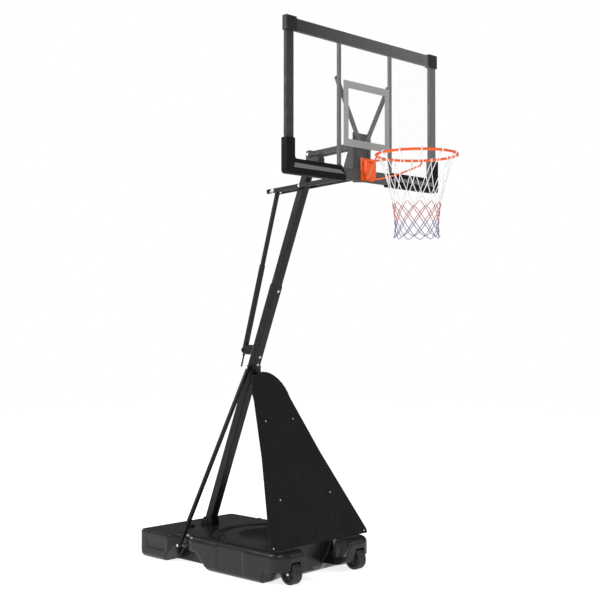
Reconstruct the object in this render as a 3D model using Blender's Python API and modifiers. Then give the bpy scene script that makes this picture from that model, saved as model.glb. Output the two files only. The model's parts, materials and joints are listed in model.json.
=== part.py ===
"""Portable basketball hoop: a wheeled water tank, a leaning three-piece pole, a crank jack,
a parallelogram of arms, a framed clear backboard and a sprung rim with its net.

Metres, +Z up. The origin is on the floor, at the centre of the tank's flat underside.
The court side is -Y, and +X is the right-hand side for someone who faces the board.
"""
import math

import bmesh
import bpy
from mathutils import Matrix, Vector

COLLECTION = "portable_basketball_hoop"
GAP = 0.0003                        # between faces that touch

# ---- driving dimensions -------------------------------------------------------------------
# Tank
TANK_LENGTH = 1.37
TANK_WIDTH = 0.85
TANK_HEIGHT = 0.205
TANK_CORNER = 0.11                  # front corners
TANK_REAR_CORNER = 0.055
TANK_EDGE = 0.040                   # rounding of the tank's edges
TANK_REAR_STEP = 0.020              # the rear deck lies this much lower
TANK_REAR_DECK = 0.36               # length of the rear deck
WAIST_Y = 0.262                     # hollow in each flank, where a side strut comes down
WAIST_LENGTH = 0.24
WAIST_DEPTH = 0.050
HANDHOLD_Y = 0.220                  # and the deeper hand-hold below it
HANDHOLD_LENGTH = 0.34
HANDHOLD_DEPTH = 0.165
HANDHOLD_HEIGHT = 0.104
RECESS_WIDTH = 0.42                 # concave recess between the wheel housings
RECESS_DEPTH = 0.15
CHIN_LENGTH = 0.13                  # the underside slopes up to the front over this length
CHIN_RISE = 0.078
DISC_Y = -0.18                      # round ridges on the deck
RIDGE_RADIUS = 0.385
RIDGE_WIDTH = 0.05
RIDGE_HEIGHT = 0.010
WELL_RADIUS = 0.21
WELL_DEPTH = 0.010
FILLER_X = -0.13
FILLER_Y = 0.50
FILLER_RADIUS = 0.026
FILLER_DEPTH = 0.040

# Wheels
WHEEL_RADIUS = 0.068
WHEEL_WIDTH = 0.058
WHEEL_INSET = 0.131                 # from a flank of the tank to the wheel's centre
WHEEL_Y = -0.645
WHEEL_LIFT = 0.0005                 # the wheels clear the floor while the tank stands on it
WHEEL_ROOM = 0.010
HUB_RADIUS = 0.046
WHEEL_DISH = 0.012
AXLE_RADIUS = 0.006
AXLE_BITE = 0.055                   # how far an axle goes into the tank
FLANK_RISE = 0.080                  # the tank's flank ends this high beside a wheel

# Pole: its axis meets the floor at POLE_BASE_Y and leans towards the court
POLE_BASE_Y = 0.520
POLE_LEAN = math.radians(21.9)
POLE_SIZE = 0.060                   # lower and middle sections
POLE_WALL = 0.0025
POLE_TOP_SIZE = 0.053               # upper section, which slides into the middle one
POLE_FOOT_Z = 0.203
FOOT_BOLT_UP = 0.024                # foot bolt above the pole's end
POLE_SPLIT_Z = 1.345                # lower section ends, middle section starts
POLE_STEP_Z = 1.835                 # middle section ends
POLE_TOP_Z = 2.676
POLE_NEST = 0.16                    # length of the upper section inside the middle one
SLEEVE_LENGTH = 0.22
POLE_BOLT_STEP = 0.026              # from the split to the bolts above and below it

# Arms: a parallelogram between the pole and the board
LOWER_PIVOT_Z = 2.462
UPPER_PIVOT_Z = 2.654
ARM_LENGTH = 0.378                  # between pivots
ARM_RISE = math.radians(3.0)        # slope of the arms as the hoop is set
ARM_DEPTH = 0.028
ARM_WIDTH = 0.018
ARM_INNER_X = 0.0315                # inner face of an arm
ARM_END = 0.014                     # material past a pivot
LEVER = 0.2403                      # lower pivot to jack pin
LEVER_TAIL = 0.053                  # arm past the jack pin
PIVOT_RADIUS = 0.005
PIVOT_CLEARANCE = 0.0008
SLOT_IN = 0.002                     # travel of the jack pin in its slot, towards the pole
SLOT_OUT = 0.034                    # and away from it
SLOT_PLAY = 0.0038                  # above and below the pin

# Jack
JACK_FOOT_Y = 0.085
JACK_FOOT_Z = 1.405
JACK_OUTER = 0.0285
JACK_INNER = 0.0235
JACK_WALL = 0.002
JACK_OUTER_TOP = 0.590              # distances along the jack from its foot pivot
JACK_OUTER_BOTTOM = 0.0305
JACK_INNER_BOTTOM = 0.340
SCREW_TOP = 0.500
SCREW_RADIUS = 0.006
CRANK_LENGTH = 0.077
CRANK_RADIUS = 0.0055
COUPLING_LENGTH = 0.020
COUPLING_RADIUS = 0.0085
TRUNNION_RADIUS = 0.006
JACK_PLATE = 0.0045                 # back plate of the jack bracket

# Backboard: its front face is at BOARD_Y
BOARD_Y = -1.0
BOARD_WIDTH = 1.38
BOARD_HEIGHT = 0.880
BOARD_BOTTOM = 2.442
SHEET = 0.004
FRAME_SIDE = 0.058                  # face width of the side bars
FRAME_END = 0.071                   # face width of the top and bottom bars
FRAME_DEPTH = 0.022
FRAME_WALL = 0.0015
REAR_TUBE = 0.020
REAR_TUBE_X = 0.2355
CORNER_SIZE = 0.085
CORNER_LIP = 0.006
PAD_TOP = 0.207                     # height of a pad's upright part
PAD_REACH = 0.50                    # length of its lower part
PAD_WALL = 0.011
BRACE_WIDTH = 0.028
BRACE_DEPTH = 0.0137
BRACKET_PLATE = 0.004
BRACKET_HALF = 0.0825

# Rim
RIM_HEIGHT = 2.567
RIM_INNER_RADIUS = 0.2285
RIM_ROD = 0.016
RIM_STANDOFF = 0.381                # ring centre to board face
PLATE_HALF = 0.058
PLATE_THICK = 0.006
PLATE_BOTTOM = 2.448
COVER_HALF = 0.0435
COVER_DEPTH = 0.0345
COVER_SHEET = 0.003
COVER_BOTTOM = 2.456
NECK_HALF = 0.030
HINGE_Y = 0.0185                    # rim hinge in front of the board
HINGE_DROP = 0.087                  # and below the ring
HINGE_RADIUS = 0.003
HINGE_EYE = 0.0075                  # radius of the ears and of the cover round the hinge pin
SPRING_RADIUS = 0.0055              # torsion springs on the hinge pin
SPRING_WIRE = 0.0012
SPRING_START = 0.005
SPRING_LENGTH = 0.026
SPRING_TURNS = 9
BRACE_ROD = 0.010
BRACE_ANGLE = math.radians(60.0)    # where the brace meets the ring, either side of the neck

# Net: its widest, narrowest and lowest circles
NET_LENGTH = 0.475
NET_TOP_RADIUS = 0.2245
NET_WAIST_RADIUS = 0.124
NET_FOOT_RADIUS = 0.140
NET_WAIST_SHARE = 0.72              # how far down the waist is
NET_THICK = 0.004

# Front panel and struts
PANEL_FOOT_Y = -0.620
PANEL_FOOT_Z = 0.212
PANEL_LEAN = math.radians(26.9)
PANEL_LENGTH = 1.177                # along its slope
PANEL_HALF = 0.441
PANEL_KNEE_HALF = 0.266
PANEL_KNEE = 0.586                  # distance up the slope
PANEL_NECK_HALF = 0.165
PANEL_NECK = 0.984
PANEL_SHEET = 0.004
RAIL_SIZE = 0.022
RAIL_TOP_X = 0.058
RAIL_FOOT_X = 0.300
STRUT_SIZE = 0.023
STRUT_TOP_Z = 1.290
STRUT_STAND_OFF = 0.0156            # the pole's side to a strut's axis, so that its sloping end clears
STRUT_FOOT_INSET = 0.007            # from a flank of the tank to a strut's axis at its foot
STRUT_FOOT_Z = 0.130
BOLT_RADIUS = 0.004
BOLT_HEAD = 0.009
NUT = 0.0065

SIDES = (("left", -1), ("right", 1))

# ---- what follows from them ----------------------------------------------------------------
X_AXIS = Vector((1, 0, 0))
POLE_UP = Vector((0, -math.sin(POLE_LEAN), math.cos(POLE_LEAN)))
POLE_BACK = Vector((0, math.cos(POLE_LEAN), math.sin(POLE_LEAN)))
ARM_FRONT = Vector((0, -math.cos(ARM_RISE), math.sin(ARM_RISE)))
ARM_X = ARM_INNER_X + ARM_WIDTH / 2
TANK_BACK = TANK_LENGTH / 2
TANK_SIDE = TANK_WIDTH / 2
WHEEL_TRACK = 2 * (TANK_SIDE - WHEEL_INSET)
STRUT_FOOT = Vector((TANK_SIDE - STRUT_FOOT_INSET, WAIST_Y, STRUT_FOOT_Z))
REAR_TOP = TANK_HEIGHT - TANK_REAR_STEP
WHEEL_Z = WHEEL_RADIUS + WHEEL_LIFT
SHEET_BACK = BOARD_Y + SHEET
FRAME_FRONT = SHEET_BACK + GAP
FRAME_BACK = FRAME_FRONT + FRAME_DEPTH
BOARD_TOP = BOARD_BOTTOM + BOARD_HEIGHT
RING_RADIUS = RIM_INNER_RADIUS + RIM_ROD / 2
RING_Y = BOARD_Y - RIM_STANDOFF


def pole_point(z):
    """The point of the pole's axis at height z."""
    return Vector((0, POLE_BASE_Y - math.tan(POLE_LEAN) * z, z))


LOWER_PIVOT = pole_point(LOWER_PIVOT_Z)
UPPER_PIVOT = pole_point(UPPER_PIVOT_Z)
LOWER_FRONT = LOWER_PIVOT + ARM_LENGTH * ARM_FRONT
UPPER_FRONT = UPPER_PIVOT + ARM_LENGTH * ARM_FRONT
JACK_PIN = LOWER_PIVOT - LEVER * ARM_FRONT
JACK_FOOT = Vector((0, JACK_FOOT_Y, JACK_FOOT_Z))
JACK_UP = (JACK_PIN - JACK_FOOT).normalized()
HINGE = Vector((0, BOARD_Y - HINGE_Y, RIM_HEIGHT - HINGE_DROP))


# ---- scene, materials ------------------------------------------------------------------------
for old in list(bpy.data.objects):
    bpy.data.objects.remove(old, do_unlink=True)


def new_collection(name):
    made = bpy.data.collections.new(name)
    bpy.context.scene.collection.children.link(made)
    return made


PARTS = new_collection(COLLECTION)
CUTTERS = new_collection("cutters")


def material(name, colour, roughness, metallic=0.0, alpha=1.0):
    made = bpy.data.materials.new(name)
    made.use_nodes = True
    shader = made.node_tree.nodes["Principled BSDF"]
    shader.inputs["Base Color"].default_value = (*colour, 1.0)
    shader.inputs["Roughness"].default_value = roughness
    shader.inputs["Metallic"].default_value = metallic
    shader.inputs["Alpha"].default_value = alpha
    return made


BLACK_STEEL = material("black_steel", (0.012, 0.012, 0.013), 0.42, 0.0)
TANK_PLASTIC = material("tank_plastic", (0.020, 0.020, 0.021), 0.50)
CAP_PLASTIC = material("cap_plastic", (0.018, 0.018, 0.018), 0.45)
PAD_FOAM = material("pad_foam", (0.022, 0.022, 0.022), 0.60)
PANEL_BLACK = material("panel_black", (0.024, 0.024, 0.024), 0.55)
ACRYLIC = material("acrylic", (0.92, 0.94, 0.95), 0.05, 0.0, 0.25)
RIM_ORANGE = material("rim_orange", (0.80, 0.12, 0.02), 0.30)
ZINC = material("zinc", (0.62, 0.62, 0.64), 0.30, 1.0)
NET_CORD = material("net_cord", (0.85, 0.85, 0.86), 0.80)
TYRE = material("wheel_tread", (0.10, 0.10, 0.10), 0.55)


# ---- shapes -----------------------------------------------------------------------------------
def add(name, mesh, finish, place=None):
    """A named sub-part, or a hidden cutter where finish is None."""
    made = bpy.data.objects.new(name, mesh)
    if place is not None:
        made.matrix_world = place
    if finish is None:
        CUTTERS.objects.link(made)
        made.hide_render = True
        made.display_type = "WIRE"
        return made
    PARTS.objects.link(made)
    mesh.materials.clear()
    mesh.materials.append(finish)
    mesh.shade_smooth()
    mesh.set_sharp_from_angle(angle=math.radians(35))
    return made


def along(start, end, side=X_AXIS):
    """A place at start, with its Z towards end and its X as near side as it can be."""
    z = (end - start).normalized()
    if abs(side.dot(z)) > 0.99:
        side = Vector((0, 0, 1))
    x = (side - side.dot(z) * z).normalized()
    turn = Matrix((x, z.cross(x), z)).transposed()
    return Matrix.Translation(start) @ turn.to_4x4()


def rounded(width, depth, radius, steps=2):
    """The outline of a rectangle with round corners, centred on the origin."""
    points = []
    for corner in range(4):
        sx = 1 if corner in (0, 3) else -1
        sy = 1 if corner in (0, 1) else -1
        for step in range(steps + 1):
            angle = math.pi / 2 * (corner + step / steps)
            x = sx * (width / 2 - radius) + radius * math.cos(angle)
            y = sy * (depth / 2 - radius) + radius * math.sin(angle)
            points.append((x, y))
    return points


def slab(outlines, thickness):
    """A mesh of flat outlines, one inside the other where there are two, from z = 0 up."""
    curve = bpy.data.curves.new("outline", "CURVE")
    curve.dimensions = "2D"
    curve.fill_mode = "BOTH"
    curve.extrude = thickness / 2
    for outline in outlines:
        spline = curve.splines.new("POLY")
        spline.points.add(len(outline) - 1)
        for point, (x, y) in zip(spline.points, outline):
            point.co = (x, y, 0, 1)
        spline.use_cyclic_u = True
    mesh = mesh_of(curve)
    mesh.transform(Matrix.Translation((0, 0, thickness / 2)))
    return mesh


def mesh_of(curve):
    """A curve's closed mesh, with its caps welded."""
    guide = bpy.data.objects.new("guide", curve)
    CUTTERS.objects.link(guide)
    bpy.context.view_layer.update()
    depsgraph = bpy.context.evaluated_depsgraph_get()
    mesh = bpy.data.meshes.new_from_object(guide.evaluated_get(depsgraph))
    bpy.data.objects.remove(guide, do_unlink=True)
    bpy.data.curves.remove(curve)
    work = bmesh.new()
    work.from_mesh(mesh)
    bmesh.ops.remove_doubles(work, verts=work.verts, dist=0.00002)
    bmesh.ops.recalc_face_normals(work, faces=work.faces)
    work.to_mesh(mesh)
    work.free()
    return mesh


def box_mesh(low, high):
    work = bmesh.new()
    bmesh.ops.create_cube(work, size=1.0)
    size = Vector(high) - Vector(low)
    bmesh.ops.scale(work, vec=size, verts=work.verts)
    bmesh.ops.translate(work, vec=(Vector(high) + Vector(low)) / 2, verts=work.verts)
    mesh = bpy.data.meshes.new("box")
    work.to_mesh(mesh)
    work.free()
    return mesh


def box(name, low, high, finish):
    return add(name, box_mesh(low, high), finish)


def round_mesh(radius, length, sides=16):
    """A cylinder from z = 0 up."""
    work = bmesh.new()
    bmesh.ops.create_cone(work, cap_ends=True, segments=sides, radius1=radius, radius2=radius,
                          depth=length)
    bmesh.ops.translate(work, vec=(0, 0, length / 2), verts=work.verts)
    mesh = bpy.data.meshes.new("round")
    work.to_mesh(mesh)
    work.free()
    return mesh


def rod(name, start, end, radius, finish, sides=16):
    return add(name, round_mesh(radius, (end - start).length, sides), finish, along(start, end))


def turned(name, profile, start, end, finish, steps=16):
    """A turned piece. The profile is (radius, height) from its top down, heights from start.

    A profile that doesn't start on the axis closes on itself, which leaves a bore."""
    mesh = bpy.data.meshes.new(name)
    points = [(radius, 0, height) for radius, height in profile]
    edges = [(i, i + 1) for i in range(len(points) - 1)]
    if profile[0][0] > 0:
        edges.append((len(points) - 1, 0))
    mesh.from_pydata(points, edges, [])
    made = add(name, mesh, finish, along(start, end))
    screw = made.modifiers.new("turn", "SCREW")
    screw.axis = "Z"
    screw.steps = steps
    screw.render_steps = steps
    screw.use_merge_vertices = True
    screw.merge_threshold = 0.00001
    screw.use_normal_calculate = False
    return made


def tube(name, start, end, width, depth, wall, finish, side=X_AXIS, radius=0.005):
    """A rectangular tube with open ends, or a solid bar where wall is 0."""
    outlines = [rounded(width, depth, radius)]
    if wall:
        outlines.append(rounded(width - 2 * wall, depth - 2 * wall, max(radius - wall, 0.001), 2))
    return add(name, slab(outlines, (end - start).length), finish, along(start, end, side))


def combine(target, other, operation="DIFFERENCE"):
    change = target.modifiers.new(operation.lower(), "BOOLEAN")
    change.object = other
    change.operation = operation
    change.solver = "EXACT"
    return target


def drill(target, start, end, radius, sides=16):
    """A round hole from start to end."""
    return combine(target, rod(target.name + "_hole", start, end, radius, None, sides))


def bevel(target, width, segments=2, angle=40):
    edge = target.modifiers.new("edges", "BEVEL")
    edge.width = width
    edge.segments = segments
    edge.limit_method = "ANGLE"
    edge.angle_limit = math.radians(angle)
    return target


def cross_bolt(name, centre, half_grip, radius, finish=ZINC, head=BOLT_HEAD, height=0.005):
    """A bolt along X through centre, with a head and a nut just outside its grip."""
    grip = half_grip + GAP
    tip = grip + height
    profile = [(0, tip), (head, tip), (head, grip), (radius, grip),
               (radius, -grip), (head, -grip), (head, -tip), (0, -tip)]
    return turned(name, profile, centre, centre + X_AXIS, finish, steps=12)


def yz_plate(name, outline, low_x, high_x, finish):
    """A plate cut to a (y, z) outline, between two x values."""
    turn = Matrix(((0, 0, 1), (1, 0, 0), (0, 1, 0))).to_4x4()
    mesh = slab([outline], high_x - low_x)
    return add(name, mesh, finish, Matrix.Translation((low_x, 0, 0)) @ turn)


def arc(centre, radius, first, last, steps):
    """Points of an arc, by angles in degrees."""
    points = []
    for step in range(steps + 1):
        angle = math.radians(first + (last - first) * step / steps)
        points.append((centre[0] + radius * math.cos(angle), centre[1] + radius * math.sin(angle)))
    return points


# ---- tank and wheels ----------------------------------------------------------------------------
def circle(radius, sides):
    return [(radius * math.cos(2 * math.pi * i / sides), radius * math.sin(2 * math.pi * i / sides))
            for i in range(sides)]


def tank_outline():
    """The tank seen from above: round corners, a waist in each flank, a recess in the front."""
    side, end, corner, rear = TANK_SIDE, TANK_BACK, TANK_CORNER, TANK_REAR_CORNER
    right = []
    for step in range(9):
        share = step / 8
        depth = RECESS_DEPTH * (0.5 + 0.5 * math.cos(math.pi * share))
        right.append((RECESS_WIDTH / 2 * share, depth - end))
    right += arc((side - corner, corner - end), corner, -90, 0, 5)
    for step in range(9):
        share = step / 8
        depth = WAIST_DEPTH * (0.5 - 0.5 * math.cos(2 * math.pi * share))
        right.append((side - depth, WAIST_Y + WAIST_LENGTH * (share - 0.5)))
    right += arc((side - rear, end - rear), rear, 0, 90, 5)
    return right + [(-x, y) for x, y in reversed(right[1:])]


def rounded_slab(outline, thickness, edge, steps=2):
    """A slab whose top and bottom edges are rounded all the way round."""
    curve = bpy.data.curves.new("outline", "CURVE")
    curve.dimensions = "2D"
    curve.fill_mode = "BOTH"
    curve.extrude = thickness / 2 - edge
    curve.bevel_depth = edge
    curve.bevel_resolution = steps
    curve.offset = -edge
    spline = curve.splines.new("POLY")
    spline.points.add(len(outline) - 1)
    for point, (x, y) in zip(spline.points, outline):
        point.co = (x, y, 0, 1)
    spline.use_cyclic_u = True
    mesh = mesh_of(curve)
    mesh.transform(Matrix.Translation((0, 0, thickness / 2)))
    return mesh


def handhold(sign):
    """The room for fingers under one flank."""
    outline = [(TANK_SIDE + 0.05, HANDHOLD_Y + HANDHOLD_LENGTH / 2),
               (TANK_SIDE + 0.05, HANDHOLD_Y - HANDHOLD_LENGTH / 2)]
    for step in range(13):
        share = step / 12
        depth = HANDHOLD_DEPTH * math.sin(math.pi * share) ** 0.7 if 0 < step < 12 else 0
        outline.append((TANK_SIDE - depth, HANDHOLD_Y + HANDHOLD_LENGTH * (share - 0.5)))
    outline = [(sign * x, y) for x, y in outline]
    return add("handhold", slab([outline], HANDHOLD_HEIGHT + 0.05), None,
               Matrix.Translation((0, 0, -0.05)))


def tank():
    """The water tank, with its ridge and well on the deck and its filler neck."""
    made = add("base_tank", rounded_slab(tank_outline(), TANK_HEIGHT, TANK_EDGE), TANK_PLASTIC)
    combine(made, box("rear_step", (-TANK_SIDE - 0.1, TANK_BACK - TANK_REAR_DECK, REAR_TOP),
                      (TANK_SIDE + 0.1, TANK_BACK + 0.1, TANK_HEIGHT + 0.1), None))
    slope = CHIN_LENGTH / CHIN_RISE
    chin = [(-TANK_BACK - 0.05, CHIN_RISE + 0.05 / slope), (-TANK_BACK - 0.05, -0.05),
            (CHIN_LENGTH - TANK_BACK + 0.05 * slope, -0.05)]
    combine(made, yz_plate("chin", chin, -TANK_SIDE - 0.1, TANK_SIDE + 0.1, None))
    for _, sign in SIDES:
        wheel_well(made, sign)
        combine(made, handhold(sign))
    ridge = slab([circle(RIDGE_RADIUS, 40), circle(RIDGE_RADIUS - RIDGE_WIDTH, 40)],
                 RIDGE_HEIGHT + 0.02)
    place = Matrix.Translation((0, DISC_Y, TANK_HEIGHT - 0.02))
    combine(made, add("ridge", ridge, None, place), "UNION")
    combine(made, rod("well", Vector((0, DISC_Y, TANK_HEIGHT - WELL_DEPTH)),
                      Vector((0, DISC_Y, TANK_HEIGHT + 0.1)), WELL_RADIUS, None, 32))
    filler = Vector((FILLER_X, FILLER_Y, REAR_TOP))
    drill(made, filler - Vector((0, 0, FILLER_DEPTH)), filler + Vector((0, 0, 0.1)), FILLER_RADIUS, 20)
    for _, sign in SIDES:
        foot = Vector((sign * STRUT_FOOT.x, STRUT_FOOT.y, STRUT_FOOT.z))
        drill(made, foot, foot - Vector((sign * 0.12, 0, 0)), BOLT_RADIUS + GAP, 12)


def wheel_well(target, sign):
    """Room for a wheel: an arch open in front and below, and a raised flank beside it."""
    centre = sign * WHEEL_TRACK / 2
    half = WHEEL_WIDTH / 2 + WHEEL_ROOM
    radius = WHEEL_RADIUS + WHEEL_ROOM
    inner = Vector((centre - half, WHEEL_Y, WHEEL_Z))
    combine(target, rod("arch", inner, inner + 2 * half * X_AXIS, radius, None, 24))
    combine(target, box("below", (centre - half, WHEEL_Y - radius, -0.05),
                        (centre + half, WHEEL_Y + radius, WHEEL_Z), None))
    outer = sorted((sign * (abs(centre) + half - 0.002), sign * (TANK_SIDE + 0.05)))
    combine(target, box("flank", (outer[0], -TANK_BACK - 0.05, -0.05),
                        (outer[1], WHEEL_Y + 1.6 * radius, FLANK_RISE), None))
    wall = Vector((centre - sign * (half - 0.002), WHEEL_Y, WHEEL_Z))
    drill(target, wall, wall - Vector((sign * (AXLE_BITE + 0.002), 0, 0)), AXLE_RADIUS + GAP, 12)


def wheel(side, sign):
    """A one-piece wheel with dished faces, on an axle that the tank's inner wall holds."""
    centre = Vector((sign * WHEEL_TRACK / 2, WHEEL_Y, WHEEL_Z))
    half = WHEEL_WIDTH / 2
    bore = AXLE_RADIUS + PIVOT_CLEARANCE
    round_off = 0.010
    top = [(bore, half), (0.016, half), (0.019, half - WHEEL_DISH), (HUB_RADIUS, half - WHEEL_DISH),
           (HUB_RADIUS + 0.003, half - 0.001), (WHEEL_RADIUS - round_off, half)]
    top += [(WHEEL_RADIUS - round_off * (1 - math.sin(a)), half - round_off * (1 - math.cos(a)))
            for a in (math.radians(35), math.radians(70))]
    top += [(WHEEL_RADIUS, half - round_off - 0.004)]
    profile = top + [(radius, -height) for radius, height in reversed(top)]
    turned("wheel_" + side, profile, centre, centre + X_AXIS, TYRE, 28)
    outer = half + 0.004
    inner = -half - WHEEL_ROOM - AXLE_BITE + 0.003
    axle = [(0, outer + 0.006), (0.011, outer + 0.006), (0.011, outer), (AXLE_RADIUS, outer),
            (AXLE_RADIUS, inner), (0, inner)]
    turned("wheel_axle_" + side, axle, centre, centre + sign * X_AXIS, ZINC, 12)


def filler_cap():
    """A screw cap: a skirted top over the deck, and a plug in the filler neck."""
    seat = Vector((FILLER_X, FILLER_Y, REAR_TOP))
    plug = FILLER_RADIUS - 0.0006
    cap = [(0, 0.014), (0.031, 0.014), (0.034, 0.011), (0.034, GAP), (plug, GAP),
           (plug, -0.026), (plug - 0.004, -0.026), (plug - 0.004, 0.004), (0, 0.004)]
    turned("filler_cap", cap, seat, seat + Vector((0, 0, 1)), CAP_PLASTIC, 24)


# ---- pole -----------------------------------------------------------------------------------------
def section(name, low_z, high_z, size):
    return tube(name, pole_point(low_z), pole_point(high_z), size, size, POLE_WALL, BLACK_STEEL)


def pole_hole(target, z, radius, direction):
    """A hole right through a pole piece at height z."""
    centre = pole_point(z)
    drill(target, centre - 0.08 * direction, centre + 0.08 * direction, radius, 12)


def pole():
    """Three square sections, the sleeve that joins the first two, and the bolts."""
    lower = section("pole_lower", POLE_FOOT_Z, POLE_SPLIT_Z - GAP, POLE_SIZE)
    middle = section("pole_middle", POLE_SPLIT_Z + GAP, POLE_STEP_Z, POLE_SIZE)
    upper = section("pole_upper", POLE_STEP_Z - POLE_NEST, POLE_TOP_Z, POLE_TOP_SIZE)
    sleeve_half = SLEEVE_LENGTH / 2 * math.cos(POLE_LEAN)
    sleeve_size = POLE_SIZE - 2 * POLE_WALL - 2 * GAP
    sleeve = section("pole_sleeve", POLE_SPLIT_Z - sleeve_half, POLE_SPLIT_Z + sleeve_half, sleeve_size)
    hole = BOLT_RADIUS + GAP
    bolts = (("pole_bolt_lower", POLE_SPLIT_Z - POLE_BOLT_STEP, (lower, sleeve), 0),
             ("pole_bolt_middle", POLE_SPLIT_Z + POLE_BOLT_STEP, (middle, sleeve), JACK_PLATE + GAP),
             ("pole_bolt_upper", POLE_STEP_Z - 0.030, (middle, upper), 0))
    for name, z, through, plate in bolts:
        for piece in through:
            pole_hole(piece, z, hole, POLE_BACK)
        front = POLE_SIZE / 2 + GAP
        back = -front - plate
        profile = [(0, front + 0.006), (BOLT_HEAD * 0.7, front + 0.006), (BOLT_HEAD, front + 0.002),
                   (BOLT_HEAD, front), (BOLT_RADIUS, front), (BOLT_RADIUS, back),
                   (NUT, back), (NUT, back - 0.005), (0, back - 0.005)]
        centre = pole_point(z)
        turned(name, profile, centre, centre - POLE_BACK, ZINC, 12)
    pivot_hole = PIVOT_RADIUS + PIVOT_CLEARANCE
    pole_hole(upper, LOWER_PIVOT_Z, pivot_hole, X_AXIS)
    pole_hole(upper, UPPER_PIVOT_Z, pivot_hole, X_AXIS)
    pole_hole(upper, UPPER_PIVOT_Z - 0.034, hole, X_AXIS)
    pole_hole(lower, STRUT_TOP_Z, hole, X_AXIS)
    pole_hole(sleeve, STRUT_TOP_Z, hole, X_AXIS)
    pole_hole(lower, POLE_FOOT_Z + FOOT_BOLT_UP, hole, X_AXIS)


def pole_fittings():
    """The foot bracket on the tank, and the cheeks at the top of the pole."""
    foot = pole_point(POLE_FOOT_Z)
    half = POLE_SIZE / 2 + 2 * GAP
    outline = [(foot.y - 0.058, REAR_TOP + GAP), (foot.y + 0.058, REAR_TOP + GAP),
               (foot.y + 0.048, REAR_TOP + 0.030), (foot.y + 0.022, REAR_TOP + 0.060),
               (foot.y - 0.048, REAR_TOP + 0.060), (foot.y - 0.058, REAR_TOP + 0.026)]
    made = yz_plate("pole_foot_bracket", outline, -half - 0.004, half + 0.004, BLACK_STEEL)
    combine(made, box("foot_room", (-half, foot.y - 0.2, REAR_TOP + 0.005 + GAP),
                      (half, foot.y + 0.2, REAR_TOP + 0.2), None))
    pin = pole_point(POLE_FOOT_Z + FOOT_BOLT_UP)
    drill(made, pin - 0.1 * X_AXIS, pin + 0.1 * X_AXIS, BOLT_RADIUS + GAP, 12)
    cross_bolt("pole_foot_bolt", pin, half + 0.004, BOLT_RADIUS)

    top = UPPER_PIVOT
    half = POLE_TOP_SIZE / 2 + GAP
    outline = [(top.y + 0.036, top.z - 0.052), (top.y + 0.028, top.z + 0.026),
               (top.y - 0.012, top.z + 0.026), (top.y - 0.072, top.z - 0.022),
               (top.y - 0.072, top.z - 0.052)]
    cheeks = yz_plate("pole_top_bracket", outline, -half - 0.0035, half + 0.0035, BLACK_STEEL)
    room = tube("top_room", pole_point(top.z - 0.2), pole_point(top.z + 0.2), 2 * half, 2 * half + 0.001, 0,
                None, radius=0.004)
    combine(cheeks, room)
    combine(cheeks, box("cheek_room", (-half, top.y - 0.2, top.z - 0.046),
                        (half, top.y + 0.2, top.z + 0.1), None))
    for z, radius in ((top.z, PIVOT_RADIUS + PIVOT_CLEARANCE), (top.z - 0.034, BOLT_RADIUS + GAP)):
        centre = pole_point(z)
        drill(cheeks, centre - 0.1 * X_AXIS, centre + 0.1 * X_AXIS, radius, 12)


# ---- panel and struts ------------------------------------------------------------------------------
PANEL_UP = Vector((0, math.sin(PANEL_LEAN), math.cos(PANEL_LEAN)))
PANEL_OUT = Vector((0, -math.cos(PANEL_LEAN), math.sin(PANEL_LEAN)))
PANEL_FOOT = Vector((0, PANEL_FOOT_Y, PANEL_FOOT_Z))


def panel_point(x, slope, out=0.0):
    """A point at x, so far up the panel's slope, and out in front of its back face."""
    return PANEL_FOOT + x * X_AXIS + slope * PANEL_UP + out * PANEL_OUT


def panel():
    """The front panel: a tapering sheet with a domed top."""
    right = [(PANEL_HALF - 0.008, 0), (PANEL_HALF, 0.008), (PANEL_HALF, 0.030),
             (PANEL_KNEE_HALF, PANEL_KNEE), (PANEL_NECK_HALF, PANEL_NECK)]
    rise = PANEL_LENGTH - PANEL_NECK
    for step in range(1, 9):
        angle = math.pi / 2 * step / 8
        right.append((PANEL_NECK_HALF * math.cos(angle), PANEL_NECK + rise * math.sin(angle)))
    left = [(-x, y) for x, y in reversed(right[:-1])]
    place = Matrix((X_AXIS, PANEL_UP, PANEL_OUT)).transposed().to_4x4()
    add("front_panel", slab([right + left], PANEL_SHEET), PANEL_BLACK,
        Matrix.Translation(PANEL_FOOT) @ place)
    for side, sign in SIDES:
        behind = -RAIL_SIZE / 2 - GAP
        tube("panel_rail_" + side, panel_point(sign * RAIL_FOOT_X, 0.020, behind),
             panel_point(sign * RAIL_TOP_X, PANEL_LENGTH - 0.055, behind), RAIL_SIZE, RAIL_SIZE, 0.0015,
             BLACK_STEEL, radius=0.003)
    top = panel_point(0, PANEL_LENGTH - 0.060, -GAP)
    face = pole_point(top.z).y - POLE_SIZE / 2 / math.cos(POLE_LEAN)
    half = RAIL_TOP_X - RAIL_SIZE / 2 - 0.008
    tan_panel = math.tan(PANEL_LEAN)
    tan_pole = math.tan(POLE_LEAN)
    outline = []
    for z in (top.z - 0.035, top.z + 0.035):
        outline.append((top.y + (z - top.z) * tan_panel, z))
    for z in (top.z + 0.035, top.z - 0.035):
        outline.append((face - GAP - (z - top.z) * tan_pole, z))
    made = yz_plate("panel_bracket", outline, -half, half, BLACK_STEEL)
    room = box("bracket_room", (-half + 0.004, top.y - 0.1, top.z - 0.1),
               (half - 0.004, face - 0.022, top.z + 0.1), None)
    combine(made, room)


STRUT_TOP = pole_point(STRUT_TOP_Z) + (POLE_SIZE / 2 + GAP + STRUT_STAND_OFF) * X_AXIS
STRUT_RUN = (STRUT_FOOT - STRUT_TOP).normalized()
STRUT_TILT = math.asin(STRUT_RUN.x)
# how far from a strut's axis, along X, a bolt head clears its sloping face
STRUT_CLEAR = STRUT_SIZE / 2 / math.cos(STRUT_TILT) + BOLT_HEAD * math.tan(STRUT_TILT) + GAP


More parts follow.
